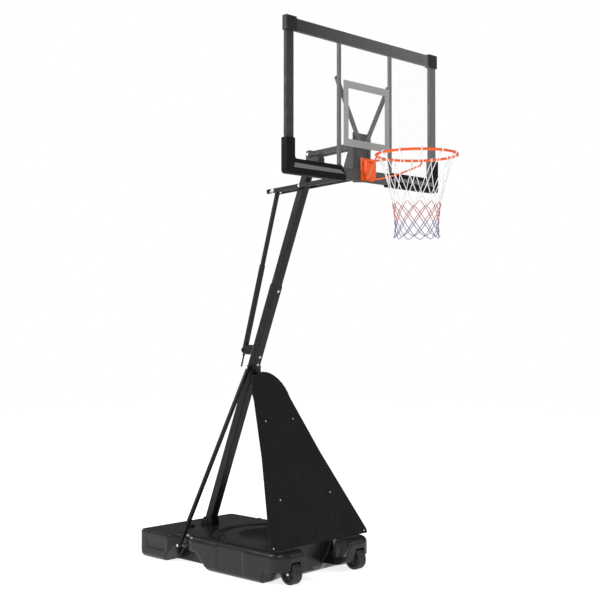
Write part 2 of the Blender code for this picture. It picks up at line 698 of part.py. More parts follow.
def strut(side, sign):
    """A tube from the side of the pole down to the tank's flank, with its bolt."""
    mirror = Matrix.Diagonal((sign, 1, 1))
    start = mirror @ STRUT_TOP
    foot = mirror @ STRUT_FOOT
    run = mirror @ STRUT_RUN
    made = tube("side_strut_" + side, start - 0.012 * run, foot + 0.014 * run, STRUT_SIZE, STRUT_SIZE,
                0.0015, BLACK_STEEL, radius=0.003)
    drill(made, foot - 0.05 * X_AXIS, foot + 0.05 * X_AXIS, BOLT_RADIUS + GAP, 12)
    drill(made, start - 0.05 * X_AXIS, start + 0.05 * X_AXIS, BOLT_RADIUS + GAP, 12)
    spacer = TANK_SIDE - WAIST_DEPTH + 0.003 - STRUT_FOOT.x
    inner = spacer - 0.048
    profile = [(0, STRUT_CLEAR + 0.005), (BOLT_HEAD, STRUT_CLEAR + 0.005), (BOLT_HEAD, STRUT_CLEAR),
               (BOLT_RADIUS, STRUT_CLEAR), (BOLT_RADIUS, -STRUT_CLEAR), (NUT, -STRUT_CLEAR),
               (NUT, spacer), (BOLT_RADIUS, spacer), (BOLT_RADIUS, inner), (0, inner)]
    turned("strut_foot_bolt_" + side, profile, foot, foot + sign * X_AXIS, ZINC, 12)


# ---- arms and jack ---------------------------------------------------------------------------------
def arm_hole(target, centre, sign):
    start = Vector((sign * (ARM_INNER_X - 0.02), centre.y, centre.z))
    drill(target, start, start + sign * (ARM_WIDTH + 0.04) * X_AXIS, PIVOT_RADIUS + GAP, 12)


def arms():
    """Two lower arms, which run on past the pole as levers, and two upper arms."""
    for side, sign in SIDES:
        at = sign * ARM_X * X_AXIS
        lower = tube("lower_arm_" + side, LOWER_PIVOT - (LEVER + LEVER_TAIL) * ARM_FRONT + at,
                     LOWER_FRONT + ARM_END * ARM_FRONT + at, ARM_WIDTH, ARM_DEPTH, 0.002, BLACK_STEEL,
                     radius=0.0025)
        upper = tube("upper_arm_" + side, UPPER_PIVOT - ARM_END * ARM_FRONT + at,
                     UPPER_FRONT + ARM_END * ARM_FRONT + at, ARM_WIDTH, ARM_DEPTH, 0.002, BLACK_STEEL,
                     radius=0.0025)
        for piece, holes in ((lower, (LOWER_PIVOT, LOWER_FRONT)), (upper, (UPPER_PIVOT,))):
            for hole in holes:
                arm_hole(piece, hole, sign)
        slot_hole(upper, UPPER_FRONT, sign, 0.0006, 0.0006, 0.0006)
        slot_hole(lower, JACK_PIN, sign, SLOT_IN, SLOT_OUT, SLOT_PLAY)
    grip = ARM_INNER_X + ARM_WIDTH
    cross_bolt("lower_pivot_bolt", LOWER_PIVOT, grip, PIVOT_RADIUS)
    cross_bolt("upper_pivot_bolt", UPPER_PIVOT, grip, PIVOT_RADIUS)


def slot_hole(target, pin, sign, inward, outward, play):
    """A slot along an arm for a pin, with its travel each way and the play above and below."""
    half = PIVOT_RADIUS + play
    outline = arc((-outward, 0), half, 90, 270, 6)
    outline += arc((inward, 0), half, -90, 90, 6)
    turn = Matrix((ARM_FRONT, X_AXIS.cross(ARM_FRONT), X_AXIS)).transposed().to_4x4()
    start = Vector((sign * ARM_X - ARM_WIDTH, pin.y, pin.z))
    cutter = add("slot", slab([outline], 2 * ARM_WIDTH), None, Matrix.Translation(start) @ turn)
    return combine(target, cutter)


def jack_point(distance):
    """A point of the jack's axis, so far up from its foot pivot."""
    return JACK_FOOT + distance * JACK_UP


def jack():
    """The crank jack: foot block, outer and inner tubes, screw, nut, crank rod and top pin."""
    block = tube("jack_foot_block", jack_point(-0.020), jack_point(JACK_OUTER_BOTTOM - GAP), JACK_OUTER,
                 JACK_OUTER, 0, BLACK_STEEL, radius=0.003)
    reach = 0.0245
    trunnion = rod("trunnion", JACK_FOOT - reach * X_AXIS, JACK_FOOT + reach * X_AXIS, TRUNNION_RADIUS,
                   None, 16)
    combine(block, trunnion, "UNION")
    drill(block, jack_point(-0.1), jack_point(0.1), SCREW_RADIUS + PIVOT_CLEARANCE, 16)
    tube("jack_outer_tube", jack_point(JACK_OUTER_BOTTOM), jack_point(JACK_OUTER_TOP), JACK_OUTER,
         JACK_OUTER, JACK_WALL, BLACK_STEEL, radius=0.003)
    length = (JACK_PIN - JACK_FOOT).length
    inner = tube("jack_inner_tube", jack_point(JACK_INNER_BOTTOM), jack_point(length + 0.009),
                 JACK_INNER, JACK_INNER, JACK_WALL, BLACK_STEEL, radius=0.003)
    drill(inner, JACK_PIN - 0.05 * X_AXIS, JACK_PIN + 0.05 * X_AXIS, PIVOT_RADIUS + GAP, 12)
    cross_bolt("jack_top_pin", JACK_PIN, ARM_INNER_X + ARM_WIDTH + 0.0005, PIVOT_RADIUS, head=0.0125,
               height=0.004)
    bore = JACK_INNER - JACK_WALL
    nut = tube("nut", jack_point(JACK_INNER_BOTTOM + 0.002), jack_point(JACK_INNER_BOTTOM + 0.027),
               bore, bore, 0, None, radius=0.001)
    combine(inner, nut, "UNION")
    drill(inner, jack_point(0.2), jack_point(0.6), SCREW_RADIUS + GAP, 16)
    rod("jack_screw", jack_point(-0.0205), jack_point(SCREW_TOP), SCREW_RADIUS, ZINC, 12)
    start = -0.0205 - GAP
    coupled = start - COUPLING_LENGTH
    end = coupled - CRANK_LENGTH
    crank = [(0, start), (COUPLING_RADIUS, start), (COUPLING_RADIUS, coupled), (CRANK_RADIUS, coupled),
             (CRANK_RADIUS, end), (0, end)]
    turned("crank_rod", crank, jack_point(0), jack_point(1), BLACK_STEEL, 16)


def jack_bracket():
    """A channel on the back of the pole that holds the jack's trunnions."""
    reach = JACK_FOOT.y
    low, high = JACK_FOOT.z - 0.030, JACK_FOOT.z + 0.034
    tan_pole = math.tan(POLE_LEAN)

    def face(z, off=0.0):
        return pole_point(z).y + POLE_SIZE / 2 / math.cos(POLE_LEAN) + GAP + off

    outline = [(face(low), low), (face(low) + 0.045, low), (reach + 0.010, JACK_FOOT.z - 0.016)]
    outline += arc((JACK_FOOT.y, JACK_FOOT.z), 0.016, -40, 80, 5)
    outline += [(reach - 0.004, high), (face(high), high)]
    half = JACK_OUTER / 2 + 0.0015
    made = yz_plate("jack_bracket", outline, -half - 0.0035, half + 0.0035, BLACK_STEEL)
    plate = JACK_PLATE / math.cos(POLE_LEAN)
    room = yz_plate("channel_room", [(face(low - 0.1, plate), low - 0.1), (reach + 0.2, low - 0.1),
                                     (reach + 0.2, high + 0.1), (face(high + 0.1, plate), high + 0.1)],
                    -half, half, None)
    combine(made, room)
    pole_hole(made, POLE_SPLIT_Z + POLE_BOLT_STEP, BOLT_RADIUS + GAP, POLE_BACK)
    drill(made, JACK_FOOT - 0.1 * X_AXIS, JACK_FOOT + 0.1 * X_AXIS, TRUNNION_RADIUS + GAP, 16)


# ---- backboard ------------------------------------------------------------------------------------
def bar(name, low, high, hollow_axis):
    """A frame bar: a box tube that is open at its two ends."""
    made = box(name, low, high, BLACK_STEEL)
    inner_low = [v + FRAME_WALL for v in low]
    inner_high = [v - FRAME_WALL for v in high]
    inner_low[hollow_axis] = low[hollow_axis] - 0.01
    inner_high[hollow_axis] = high[hollow_axis] + 0.01
    combine(made, box(name + "_bore", inner_low, inner_high, None))
    return made


def backboard():
    """The clear sheet, the frame behind it, its corner caps and pads, and the rear structure."""
    half = BOARD_WIDTH / 2
    box("backboard_sheet", (-half, BOARD_Y, BOARD_BOTTOM), (half, SHEET_BACK, BOARD_TOP), ACRYLIC)
    bar("frame_top", (-half, FRAME_FRONT, BOARD_TOP - FRAME_END), (half, FRAME_BACK, BOARD_TOP), 0)
    bar("frame_bottom", (-half, FRAME_FRONT, BOARD_BOTTOM),
        (half, FRAME_BACK, BOARD_BOTTOM + FRAME_END), 0)
    low, high = BOARD_BOTTOM + FRAME_END + GAP, BOARD_TOP - FRAME_END - GAP
    for side, sign in SIDES:
        edge = sorted((sign * half, sign * (half - FRAME_SIDE)))
        bar("frame_" + side, (edge[0], FRAME_FRONT, low), (edge[1], FRAME_BACK, high), 2)
        x = sign * REAR_TUBE_X
        depth = FRAME_BACK - REAR_TUBE / 2
        tube("rear_tube_" + side, Vector((x, depth, low)), Vector((x, depth, high)), REAR_TUBE,
             REAR_TUBE, 0.0015, BLACK_STEEL, radius=0.002)
        corner_cap(side, sign)
        pad(side, sign)
        brace(side, sign)
    board_bracket()


def wrap_room():
    """The room that the sheet and the frame take inside caps and pads."""
    half = BOARD_WIDTH / 2 + GAP
    return box("wrap_room", (-half, BOARD_Y - GAP, BOARD_BOTTOM - GAP),
               (half, FRAME_BACK + GAP, BOARD_TOP + GAP), None)


def corner_cap(side, sign):
    """A plastic cap over a top corner, open where the sheet and frame go in."""
    half = BOARD_WIDTH / 2
    wall = 0.008
    x = sorted((sign * (half + wall), sign * (half + wall - CORNER_SIZE)))
    made = box("corner_cap_" + side, (x[0], BOARD_Y - CORNER_LIP, BOARD_TOP + wall - CORNER_SIZE),
               (x[1], FRAME_BACK + CORNER_LIP, BOARD_TOP + wall), CAP_PLASTIC)
    bevel(made, 0.003, 1)
    combine(made, wrap_room())


def pad(side, sign):
    """A foam pad round a bottom corner: an L along the side bar and the bottom bar."""
    half = BOARD_WIDTH / 2
    outer, foot = half + PAD_WALL, BOARD_BOTTOM - PAD_WALL
    inner, shelf = half - FRAME_SIDE, BOARD_BOTTOM + FRAME_END
    end = outer - PAD_REACH
    outline = [(outer - 0.02, foot), (outer - 0.006, foot + 0.006), (outer, foot + 0.02),
               (outer, foot + PAD_TOP), (inner, foot + PAD_TOP), (inner, shelf + 0.006),
               (inner - 0.006, shelf), (end + 0.03, shelf), (end, shelf - 0.03), (end, foot)]
    outline = [(sign * x, z) for x, z in outline]
    turn = Matrix(((1, 0, 0), (0, 0, -1), (0, 1, 0))).to_4x4()
    depth = FRAME_BACK - BOARD_Y + 2 * PAD_WALL
    made = add("pad_" + side, slab([outline], depth), PAD_FOAM,
               Matrix.Translation((0, FRAME_BACK + PAD_WALL, 0)) @ turn)
    bevel(made, 0.004, 1)
    combine(made, wrap_room())


def brace(side, sign):
    """One leg of the V: a flat tube from the centre bracket up to a rear tube."""
    behind = FRAME_BACK + GAP + BRACE_DEPTH / 2
    low = Vector((sign * 0.0175, behind, BOARD_BOTTOM + 0.222))
    high = Vector((sign * (REAR_TUBE_X + 0.006), behind, BOARD_BOTTOM + 0.613))
    tube("brace_" + side, low, high, BRACE_WIDTH, BRACE_DEPTH, 0.0015, BLACK_STEEL, radius=0.002)


def board_bracket():
    """The centre bracket: a plate behind the braces, feet on the frame, and two arm cheeks."""
    web = FRAME_BACK + GAP + BRACE_DEPTH + GAP
    made = box("board_bracket", (-BRACKET_HALF, web, BOARD_BOTTOM + 0.004),
               (BRACKET_HALF, web + BRACKET_PLATE, BOARD_BOTTOM + 0.300), BLACK_STEEL)
    inner = ARM_INNER_X + ARM_WIDTH + 0.001
    for _, sign in SIDES:
        x = sorted((sign * inner, sign * (inner + BRACKET_PLATE)))
        outline = [(FRAME_BACK + GAP, BOARD_BOTTOM + 0.004), (LOWER_FRONT.y + 0.005, BOARD_BOTTOM + 0.018)]
        outline += arc((LOWER_FRONT.y, LOWER_FRONT.z), 0.017, -60, 60, 4)
        outline += arc((UPPER_FRONT.y, UPPER_FRONT.z), 0.017, 0, 90, 3)
        outline += [(web + 0.001, UPPER_FRONT.z + 0.017), (FRAME_BACK + GAP, BOARD_BOTTOM + 0.205)]
        cheek = yz_plate("cheek", outline, x[0], x[1], None)
        combine(made, cheek, "UNION")
        left, right = sorted((sign * BRACKET_HALF, sign * (BRACKET_HALF - 0.004)))
        foot = box("bracket_foot", (left, FRAME_BACK + GAP, BOARD_BOTTOM + 0.004),
                   (right, web + 0.002, BOARD_BOTTOM + FRAME_END), None)
        combine(made, foot, "UNION")
    for centre in (LOWER_FRONT, UPPER_FRONT):
        drill(made, centre - 0.1 * X_AXIS, centre + 0.1 * X_AXIS, PIVOT_RADIUS + GAP, 12)
    grip = inner + BRACKET_PLATE
    cross_bolt("lower_front_bolt", LOWER_FRONT, grip, PIVOT_RADIUS)
    cross_bolt("upper_front_bolt", UPPER_FRONT, grip, PIVOT_RADIUS)


# ---- rim and net ----------------------------------------------------------------------------------
def rim_plate():
    """The plate on the board, with two ears for the hinge pin."""
    front = BOARD_Y - GAP
    made = box("rim_back_plate", (-PLATE_HALF, front - PLATE_THICK, PLATE_BOTTOM),
               (PLATE_HALF, front, RIM_HEIGHT + 0.018), RIM_ORANGE)
    ear_x = COVER_HALF - COVER_SHEET - 0.0008
    plate = front - PLATE_THICK + 0.001
    for _, sign in SIDES:
        x = sorted((sign * ear_x, sign * (ear_x - 0.004)))
        outline = [(plate, HINGE.z - HINGE_EYE)]
        outline += arc((HINGE.y, HINGE.z), HINGE_EYE - 0.0005, 270, 90, 6)
        outline.append((plate, HINGE.z + HINGE_EYE))
        combine(made, yz_plate("ear", outline, x[0], x[1], None), "UNION")
    drill(made, HINGE - 0.1 * X_AXIS, HINGE + 0.1 * X_AXIS, HINGE_RADIUS + GAP, 12)
    half = COVER_HALF
    profile = [(0, half + 0.003), (0.0055, half + 0.003), (0.0055, half + GAP), (HINGE_RADIUS, half + GAP),
               (HINGE_RADIUS, -half - GAP), (0.0055, -half - GAP), (0.0055, -half - 0.003),
               (0, -half - 0.003)]
    turned("rim_hinge_pin", profile, HINGE, HINGE + X_AXIS, ZINC, 12)


def rim_ring():
    """The ring, its neck and cover, and the brace rod: one welded piece that hinges."""
    centre = Vector((0, RING_Y, RIM_HEIGHT))
    made = add("rim_ring", ring_mesh(RING_RADIUS, RIM_ROD / 2, 48, 8), RIM_ORANGE,
               Matrix.Translation(centre))
    front = BOARD_Y - COVER_DEPTH
    neck = box("neck", (-NECK_HALF, RING_Y + RING_RADIUS - 0.004, RIM_HEIGHT - 0.004),
               (NECK_HALF, front + 0.002, RIM_HEIGHT), None)
    top = box("cover_top", (-COVER_HALF, front, RIM_HEIGHT - 0.004),
              (COVER_HALF, BOARD_Y - 0.0085, RIM_HEIGHT), None)
    face = box("cover_face", (-COVER_HALF, front, COVER_BOTTOM),
               (COVER_HALF, front + COVER_SHEET, RIM_HEIGHT - 0.001), None)
    pieces = [neck, top, face]
    for _, sign in SIDES:
        x = sorted((sign * COVER_HALF, sign * (COVER_HALF - COVER_SHEET)))
        back = BOARD_Y - 0.0085
        outline = [(front + 0.001, COVER_BOTTOM), (front + 0.006, COVER_BOTTOM)]
        outline += arc((HINGE.y, HINGE.z), HINGE_EYE, -60, 0, 3)
        outline += [(back, HINGE.z + 0.012), (back, RIM_HEIGHT - 0.001), (front + 0.001, RIM_HEIGHT - 0.001)]
        pieces.append(yz_plate("cover_side", outline, x[0], x[1], None))
    pieces.append(add("brace_rod", brace_mesh(), None))
    for piece in pieces:
        combine(made, piece, "UNION")
    drill(made, HINGE - 0.1 * X_AXIS, HINGE + 0.1 * X_AXIS, HINGE_RADIUS + GAP, 12)
    hole = Vector((0, front - 0.02, COVER_BOTTOM + 0.048))
    drill(made, hole, hole + Vector((0, 0.03, 0)), 0.006, 12)


def ring_mesh(radius, rod_radius, around, sides):
    """A torus."""
    curve = bpy.data.curves.new("ring", "CURVE")
    curve.dimensions = "3D"
    curve.bevel_depth = rod_radius
    curve.bevel_resolution = max(sides // 4, 1)
    spline = curve.splines.new("POLY")
    spline.points.add(around - 1)
    for point, (x, y) in zip(spline.points, circle(radius, around)):
        point.co = (x, y, 0, 1)
    spline.use_cyclic_u = True
    return mesh_of(curve)


def brace_mesh():
    """One rod bent from the ring, round under the cover, and back to the ring."""
    below = COVER_BOTTOM + 0.002
    meet = Vector((RING_RADIUS * math.sin(BRACE_ANGLE), RING_Y + RING_RADIUS * math.cos(BRACE_ANGLE),
                   RIM_HEIGHT - 0.004))
    front = BOARD_Y - COVER_DEPTH
    out = meet + Vector((0.004, 0.016, -0.022))
    start = Vector((0.030, front + 0.0015, below))
    bend = start + Vector((0.014, -0.006, 0.001))
    half = [start, bend]
    for step in range(1, 6):
        share = step / 5
        drop = -0.010 * math.sin(math.pi * share)
        half.append(bend.lerp(out, share) + Vector((0, 0, drop)))
    half.append(meet)
    points = [Vector((-p.x, p.y, p.z)) for p in reversed(half)] + half
    curve = bpy.data.curves.new("brace", "CURVE")
    curve.dimensions = "3D"
    curve.bevel_depth = BRACE_ROD / 2
    curve.bevel_resolution = 2
    curve.use_fill_caps = True
    spline = curve.splines.new("POLY")
    spline.points.add(len(points) - 1)
    for target, point in zip(spline.points, points):
        target.co = (*point, 1)
    return mesh_of(curve)


def spring(side, sign):
    """A torsion spring round the hinge pin, inside the cover."""
    per_turn = 9
    curve = bpy.data.curves.new("coil", "CURVE")
    curve.dimensions = "3D"
    curve.bevel_depth = SPRING_WIRE
    curve.bevel_resolution = 1
    curve.use_fill_caps = True
    spline = curve.splines.new("POLY")
    count = SPRING_TURNS * per_turn
    spline.points.add(count)
    for step, point in enumerate(spline.points):
        angle = 2 * math.pi * step / per_turn
        x = sign * (SPRING_START + SPRING_LENGTH * step / count)
        y = HINGE.y + SPRING_RADIUS * math.cos(angle)
        z = HINGE.z + SPRING_RADIUS * math.sin(angle)
        point.co = (x, y, z, 1)
    add("rim_spring_" + side, mesh_of(curve), ZINC)


def net():
    """The net as a thin open sleeve with its true outer shape."""
    top = RIM_HEIGHT - RIM_ROD / 2 - 0.002
    rows = 10

    def radius(share):
        if share < NET_WAIST_SHARE:
            ease = math.sin(math.pi / 2 * share / NET_WAIST_SHARE)
            return NET_TOP_RADIUS + (NET_WAIST_RADIUS - NET_TOP_RADIUS) * ease
        flare = ((share - NET_WAIST_SHARE) / (1 - NET_WAIST_SHARE)) ** 1.5
        return NET_WAIST_RADIUS + (NET_FOOT_RADIUS - NET_WAIST_RADIUS) * flare

    outside = [(radius(i / rows), -NET_LENGTH * i / rows) for i in range(rows + 1)]
    inside = [(r - NET_THICK, z) for r, z in reversed(outside)]
    seat = Vector((0, RING_Y, top))
    turned("net", outside + inside, seat, seat + Vector((0, 0, 1)), NET_CORD, 24)


tank()
filler_cap()
for side_name, side_sign in SIDES:
    wheel(side_name, side_sign)
pole()
pole_fittings()
panel()
for side_name, side_sign in SIDES:
    strut(side_name, side_sign)
cross_bolt("strut_top_bolt", pole_point(STRUT_TOP_Z), STRUT_TOP.x + STRUT_CLEAR, BOLT_RADIUS)
arms()
jack()
jack_bracket()
backboard()
rim_plate()
rim_ring()
for side_name, side_sign in SIDES:
    spring(side_name, side_sign)
net()
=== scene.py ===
"""Looks of the portable basketball hoop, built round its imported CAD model.

Metres, +Z up, the court side is -Y. CAD nodes whose shape is right stay and get a finish;
the tank, wheels, axle bolts, hex bolts, filler cap, pads and net are modelled here and replace
their CAD stand-ins.
"""
import json
import math

import bmesh
import bpy
from mathutils import Matrix, Vector


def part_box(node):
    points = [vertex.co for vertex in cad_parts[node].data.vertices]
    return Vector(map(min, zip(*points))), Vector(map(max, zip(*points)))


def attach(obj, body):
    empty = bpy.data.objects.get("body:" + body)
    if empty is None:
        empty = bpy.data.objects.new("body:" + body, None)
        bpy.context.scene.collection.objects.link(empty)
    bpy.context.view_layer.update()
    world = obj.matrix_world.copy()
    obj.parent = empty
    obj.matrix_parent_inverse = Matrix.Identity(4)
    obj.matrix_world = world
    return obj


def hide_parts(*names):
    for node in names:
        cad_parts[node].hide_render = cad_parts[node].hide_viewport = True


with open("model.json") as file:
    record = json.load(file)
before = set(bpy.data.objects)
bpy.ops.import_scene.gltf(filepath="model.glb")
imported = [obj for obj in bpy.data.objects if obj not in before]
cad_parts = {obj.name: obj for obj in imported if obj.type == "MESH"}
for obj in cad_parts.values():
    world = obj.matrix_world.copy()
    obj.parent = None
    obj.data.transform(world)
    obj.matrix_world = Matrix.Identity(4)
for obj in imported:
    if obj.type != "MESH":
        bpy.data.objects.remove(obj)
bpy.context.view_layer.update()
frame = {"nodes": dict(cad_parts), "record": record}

NODES = frame["nodes"]
SIDES = (("left", -1), ("right", 1))
X_AXIS = Vector((1, 0, 0))
UP = Vector((0, 0, 1))
POLE_LEAN = math.radians(21.9)
PANEL_LEAN = math.radians(26.9)
ARM_RISE = math.radians(3.0)


def span(node):
    """A CAD node's lowest corner, highest corner and middle."""
    low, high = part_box(node)
    low, high = Vector(low), Vector(high)
    return low, high, (low + high) / 2


# ---- camera, light, floor --------------------------------------------------------------------
def camera():
    """The view from the front left, a little below half of the hoop's height."""
    tilt, heading = 0.0196, math.radians(-45.85)
    data = bpy.data.cameras.new("camera")
    data.lens = 66.2
    data.sensor_width = 36
    made = bpy.data.objects.new("camera", data)
    made.location = (-5.081, -5.365, 1.595)
    made.rotation_euler = (math.pi / 2 + tilt, 0, heading)
    bpy.context.scene.collection.objects.link(made)
    bpy.context.scene.camera = made


def area_light(name, place, target, size, power):
    """A rectangular soft box at place, turned towards target."""
    data = bpy.data.lights.new(name, "AREA")
    data.shape = "RECTANGLE"
    data.size, data.size_y = size
    data.energy = power
    made = bpy.data.objects.new(name, data)
    made.location = place
    aim = Vector(target) - Vector(place)
    made.rotation_euler = aim.to_track_quat("-Z", "Y").to_euler()
    bpy.context.scene.collection.objects.link(made)


def studio():
    """White surroundings as seen, dimmer ones as reflected, soft boxes and a white floor.

    The reflected surroundings are brightest to the front left and dim towards the back right."""
    far_way = (0.7175, 0.6965, 0)
    near_and_far = (-0.7, 0.9)
    near_level, far_level = 0.66, 0.12
    world = bpy.data.worlds.new("studio")
    world.use_nodes = True
    tree = world.node_tree
    ray = tree.nodes.new("ShaderNodeLightPath")
    place = tree.nodes.new("ShaderNodeTexCoord")
    ahead = tree.nodes.new("ShaderNodeVectorMath")
    ahead.operation = "DOT_PRODUCT"
    ahead.inputs[1].default_value = far_way
    around = tree.nodes.new("ShaderNodeMapRange")
    for socket, number in zip(around.inputs[1:5], (*near_and_far, near_level, far_level)):
        socket.default_value = number
    level = tree.nodes.new("ShaderNodeMapRange")
    level.inputs["To Max"].default_value = 1.0
    tree.links.new(place.outputs["Generated"], ahead.inputs[0])
    tree.links.new(ahead.outputs["Value"], around.inputs["Value"])
    tree.links.new(around.outputs["Result"], level.inputs["To Min"])
    tree.links.new(ray.outputs["Is Camera Ray"], level.inputs["Value"])
    tree.links.new(level.outputs["Result"], tree.nodes["Background"].inputs["Strength"])
    tree.nodes["Background"].inputs["Color"].default_value = (1, 1, 1, 1)
    bpy.context.scene.world = world
    bpy.context.scene.view_settings.view_transform = "Standard"
    area_light("key", (-4.5, 3.0, 4.5), (0, 0, 0.8), (2.0, 3.0), 150)
    area_light("fill", (4.0, -4.5, 3.2), (0, -0.5, 1.8), (2.5, 3.5), 30)
    area_light("side", (-0.5, 5.0, 2.2), (0, -0.2, 0.2), (1.6, 1.2), 60)
    area_light("front", (-4.0, -3.5, 5.0), (0, -0.4, 0.6), (2.0, 2.0), 110)
    mesh = bpy.data.meshes.new("floor")
    edge = 12
    mesh.from_pydata([(-edge, -edge, 0), (edge, -edge, 0), (edge, edge, 0), (-edge, edge, 0)], [],
                     [(0, 1, 2, 3)])
    floor = bpy.data.objects.new("floor", mesh)
    bpy.context.scene.collection.objects.link(floor)
    paint = Finish("floor_white", (0.60, 0.60, 0.60), 0.9)
    paint.shader.inputs["Emission Color"].default_value = (1, 1, 1, 1)
    paint.shader.inputs["Emission Strength"].default_value = 0.80
    floor.data.materials.append(paint.material)


# ---- finishes ----------------------------------------------------------------------------------
class Finish:
    """A Principled material, and short ways to feed its sockets with procedural detail."""

    def __init__(self, name, colour, roughness, metallic=0.0, shine=0.5):
        self.material = bpy.data.materials.new(name)
        self.material.use_nodes = True
        self.tree = self.material.node_tree
        self.shader = self.tree.nodes["Principled BSDF"]
        self.shader.inputs["Base Color"].default_value = (*colour, 1)
        self.shader.inputs["Roughness"].default_value = roughness
        self.shader.inputs["Metallic"].default_value = metallic
        self.shader.inputs["Specular IOR Level"].default_value = shine
        self.place = self.tree.nodes.new("ShaderNodeTexCoord").outputs["Object"]

    def node(self, kind, **inputs):
        made = self.tree.nodes.new(kind)
        for key, value in inputs.items():
            self.feed(made.inputs[key.replace("_", " ")], value)
        return made

    def feed(self, socket, value):
        if isinstance(value, bpy.types.NodeSocket):
            self.tree.links.new(value, socket)
        else:
            socket.default_value = value

    def noise(self, scale, detail, roughness=0.55, place=None):
        made = self.node("ShaderNodeTexNoise", Scale=scale, Detail=detail, Roughness=roughness)
        self.feed(made.inputs["Vector"], place or self.place)
        return made.outputs["Fac"]

    def stretched(self, scale):
        """The place, scaled by a different amount along each axis."""
        made = self.node("ShaderNodeMapping", Scale=scale)
        self.feed(made.inputs["Vector"], self.place)
        return made.outputs["Vector"]

    def between(self, value, low, high, first, last):
        """value, from low to high, turned into a number from first to last."""
        made = self.node("ShaderNodeMapRange")
        for socket, number in zip(made.inputs[:5], (value, low, high, first, last)):
            self.feed(socket, number)
        return made.outputs["Result"]

    def mix(self, factor, first, second):
        made = self.node("ShaderNodeMix")
        made.data_type = "RGBA"
        self.feed(made.inputs["Factor"], factor)
        for socket, colour in ((made.inputs["A"], first), (made.inputs["B"], second)):
            if isinstance(colour, tuple):
                colour = (*colour, 1)
            for candidate in made.inputs:
                if candidate.name == socket.name and candidate.type == "RGBA":
                    socket = candidate
            self.feed(socket, colour)
        return next(out for out in made.outputs if out.type == "RGBA")

    def axis(self, index):
        made = self.node("ShaderNodeSeparateXYZ")
        self.feed(made.inputs[0], self.place)
        return made.outputs[index]

    def colour(self, value):
        self.feed(self.shader.inputs["Base Color"], value)

    def roughness(self, value):
        self.feed(self.shader.inputs["Roughness"], value)

    def bump(self, height, distance, strength):
        made = self.node("ShaderNodeBump", Strength=strength, Distance=distance)
        self.feed(made.inputs["Height"], height)
        previous = self.shader.inputs["Normal"]
        if previous.is_linked:
            self.tree.links.new(previous.links[0].from_socket, made.inputs["Normal"])
        self.tree.links.new(made.outputs["Normal"], previous)


def powder_coat(name, dark, light, gloss):
    """Powder coat: fine orange peel, slow changes in tone, and a little handling wear."""
    made = Finish(name, dark, gloss, shine=0.22)
    cloud = made.noise(7.0, 5.0)
    scuff = made.between(made.noise(38.0, 8.0, 0.7), 0.60, 0.74, 0.0, 0.35)
    base = made.mix(made.between(cloud, 0.35, 0.7, 0.0, 1.0), dark, light)
    made.colour(made.mix(scuff, base, tuple(2.2 * c for c in light)))
    made.roughness(made.between(made.noise(16.0, 4.0), 0.3, 0.7, gloss - 0.07, gloss + 0.10))
    made.bump(made.noise(850.0, 2.0), 0.0003, 0.35)
    made.bump(made.noise(90.0, 2.0), 0.0006, 0.10)
    return made.material


def moulded(name, dark, light, gloss, grain, depth, shine=0.25, wear=0.16):
    """Moulded plastic: fine grain, and slow changes in tone and gloss."""
    made = Finish(name, dark, gloss, shine=shine)
    made.colour(made.mix(made.between(made.noise(5.0, 6.0), 0.35, 0.68, 0.0, 1.0), dark, light))
    made.roughness(made.between(made.noise(24.0, 6.0), 0.3, 0.75, gloss - 0.4 * wear, gloss + wear))
    made.bump(made.noise(grain, 3.0), depth, 0.12)
    made.bump(made.noise(22.0, 2.0), 0.002, 0.015)
    return made.material


def foam(name):
    """Skinned foam: pores in a soft skin."""
    made = Finish(name, (0.004, 0.004, 0.004), 0.62, shine=0.12)
    cells = made.node("ShaderNodeTexVoronoi", Scale=520.0)
    made.feed(cells.inputs["Vector"], made.place)
    made.colour(made.mix(made.noise(9.0, 5.0), (0.003, 0.003, 0.003), (0.006, 0.006, 0.006)))
    made.roughness(made.between(made.noise(30.0, 4.0), 0.3, 0.7, 0.52, 0.72))
    made.bump(cells.outputs["Distance"], 0.0005, 0.45)
    return made.material


def zinc(name):
    """Bright zinc plate with a faint spangle."""
    made = Finish(name, (0.62, 0.62, 0.64), 0.28, 1.0)
    spangle = made.noise(160.0, 4.0)
    made.colour(made.mix(spangle, (0.50, 0.51, 0.53), (0.74, 0.74, 0.75)))
    made.roughness(made.between(made.noise(60.0, 5.0), 0.3, 0.7, 0.20, 0.38))
    made.bump(made.noise(700.0, 2.0), 0.0002, 0.25)
    return made.material


def orange_coat(name):
    """Orange powder coat, a little glossier than the black."""
    made = Finish(name, (0.80, 0.10, 0.015), 0.34, shine=0.3)
    made.colour(made.mix(made.between(made.noise(14.0, 5.0), 0.35, 0.7, 0.0, 1.0),
                         (0.74, 0.085, 0.004), (0.86, 0.125, 0.008)))
    made.roughness(made.between(made.noise(30.0, 4.0), 0.3, 0.7, 0.24, 0.40))
    made.bump(made.noise(700.0, 2.0), 0.0003, 0.30)
    return made.material


def acrylic(name):
    """Clear acrylic with a faint haze, a painted reflection that lightens it from left to right, and fine
    hairline scratches.
    """
    made = Finish(name, (0.80, 0.82, 0.83), 0.06)
    low, high, _ = span("backboard_sheet")
    # The even low part is haze; its rise towards the right is a painted reflection, lighter on the right of
    # the sheet.
    haze_and_painted_reflection = made.between(made.axis(0), low.x, high.x, 0.010, 0.075)
    made.feed(made.shader.inputs["Alpha"], haze_and_painted_reflection)
    made.roughness(made.between(made.noise(9.0, 6.0), 0.3, 0.7, 0.03, 0.10))
    made.bump(made.noise(40.0, 8.0, 0.7, made.stretched((1.0, 1.0, 14.0))), 0.0001, 0.15)
    return made.material


def print_ink(name, grey):
    """Screen-printed ink, slightly uneven."""
    made = Finish(name, (grey, grey, grey), 0.5, shine=0.25)
    made.colour(made.mix(made.noise(60.0, 5.0), (0.92 * grey,) * 3, (1.1 * grey,) * 3))
    made.bump(made.noise(900.0, 2.0), 0.0001, 0.3)
    return made.material


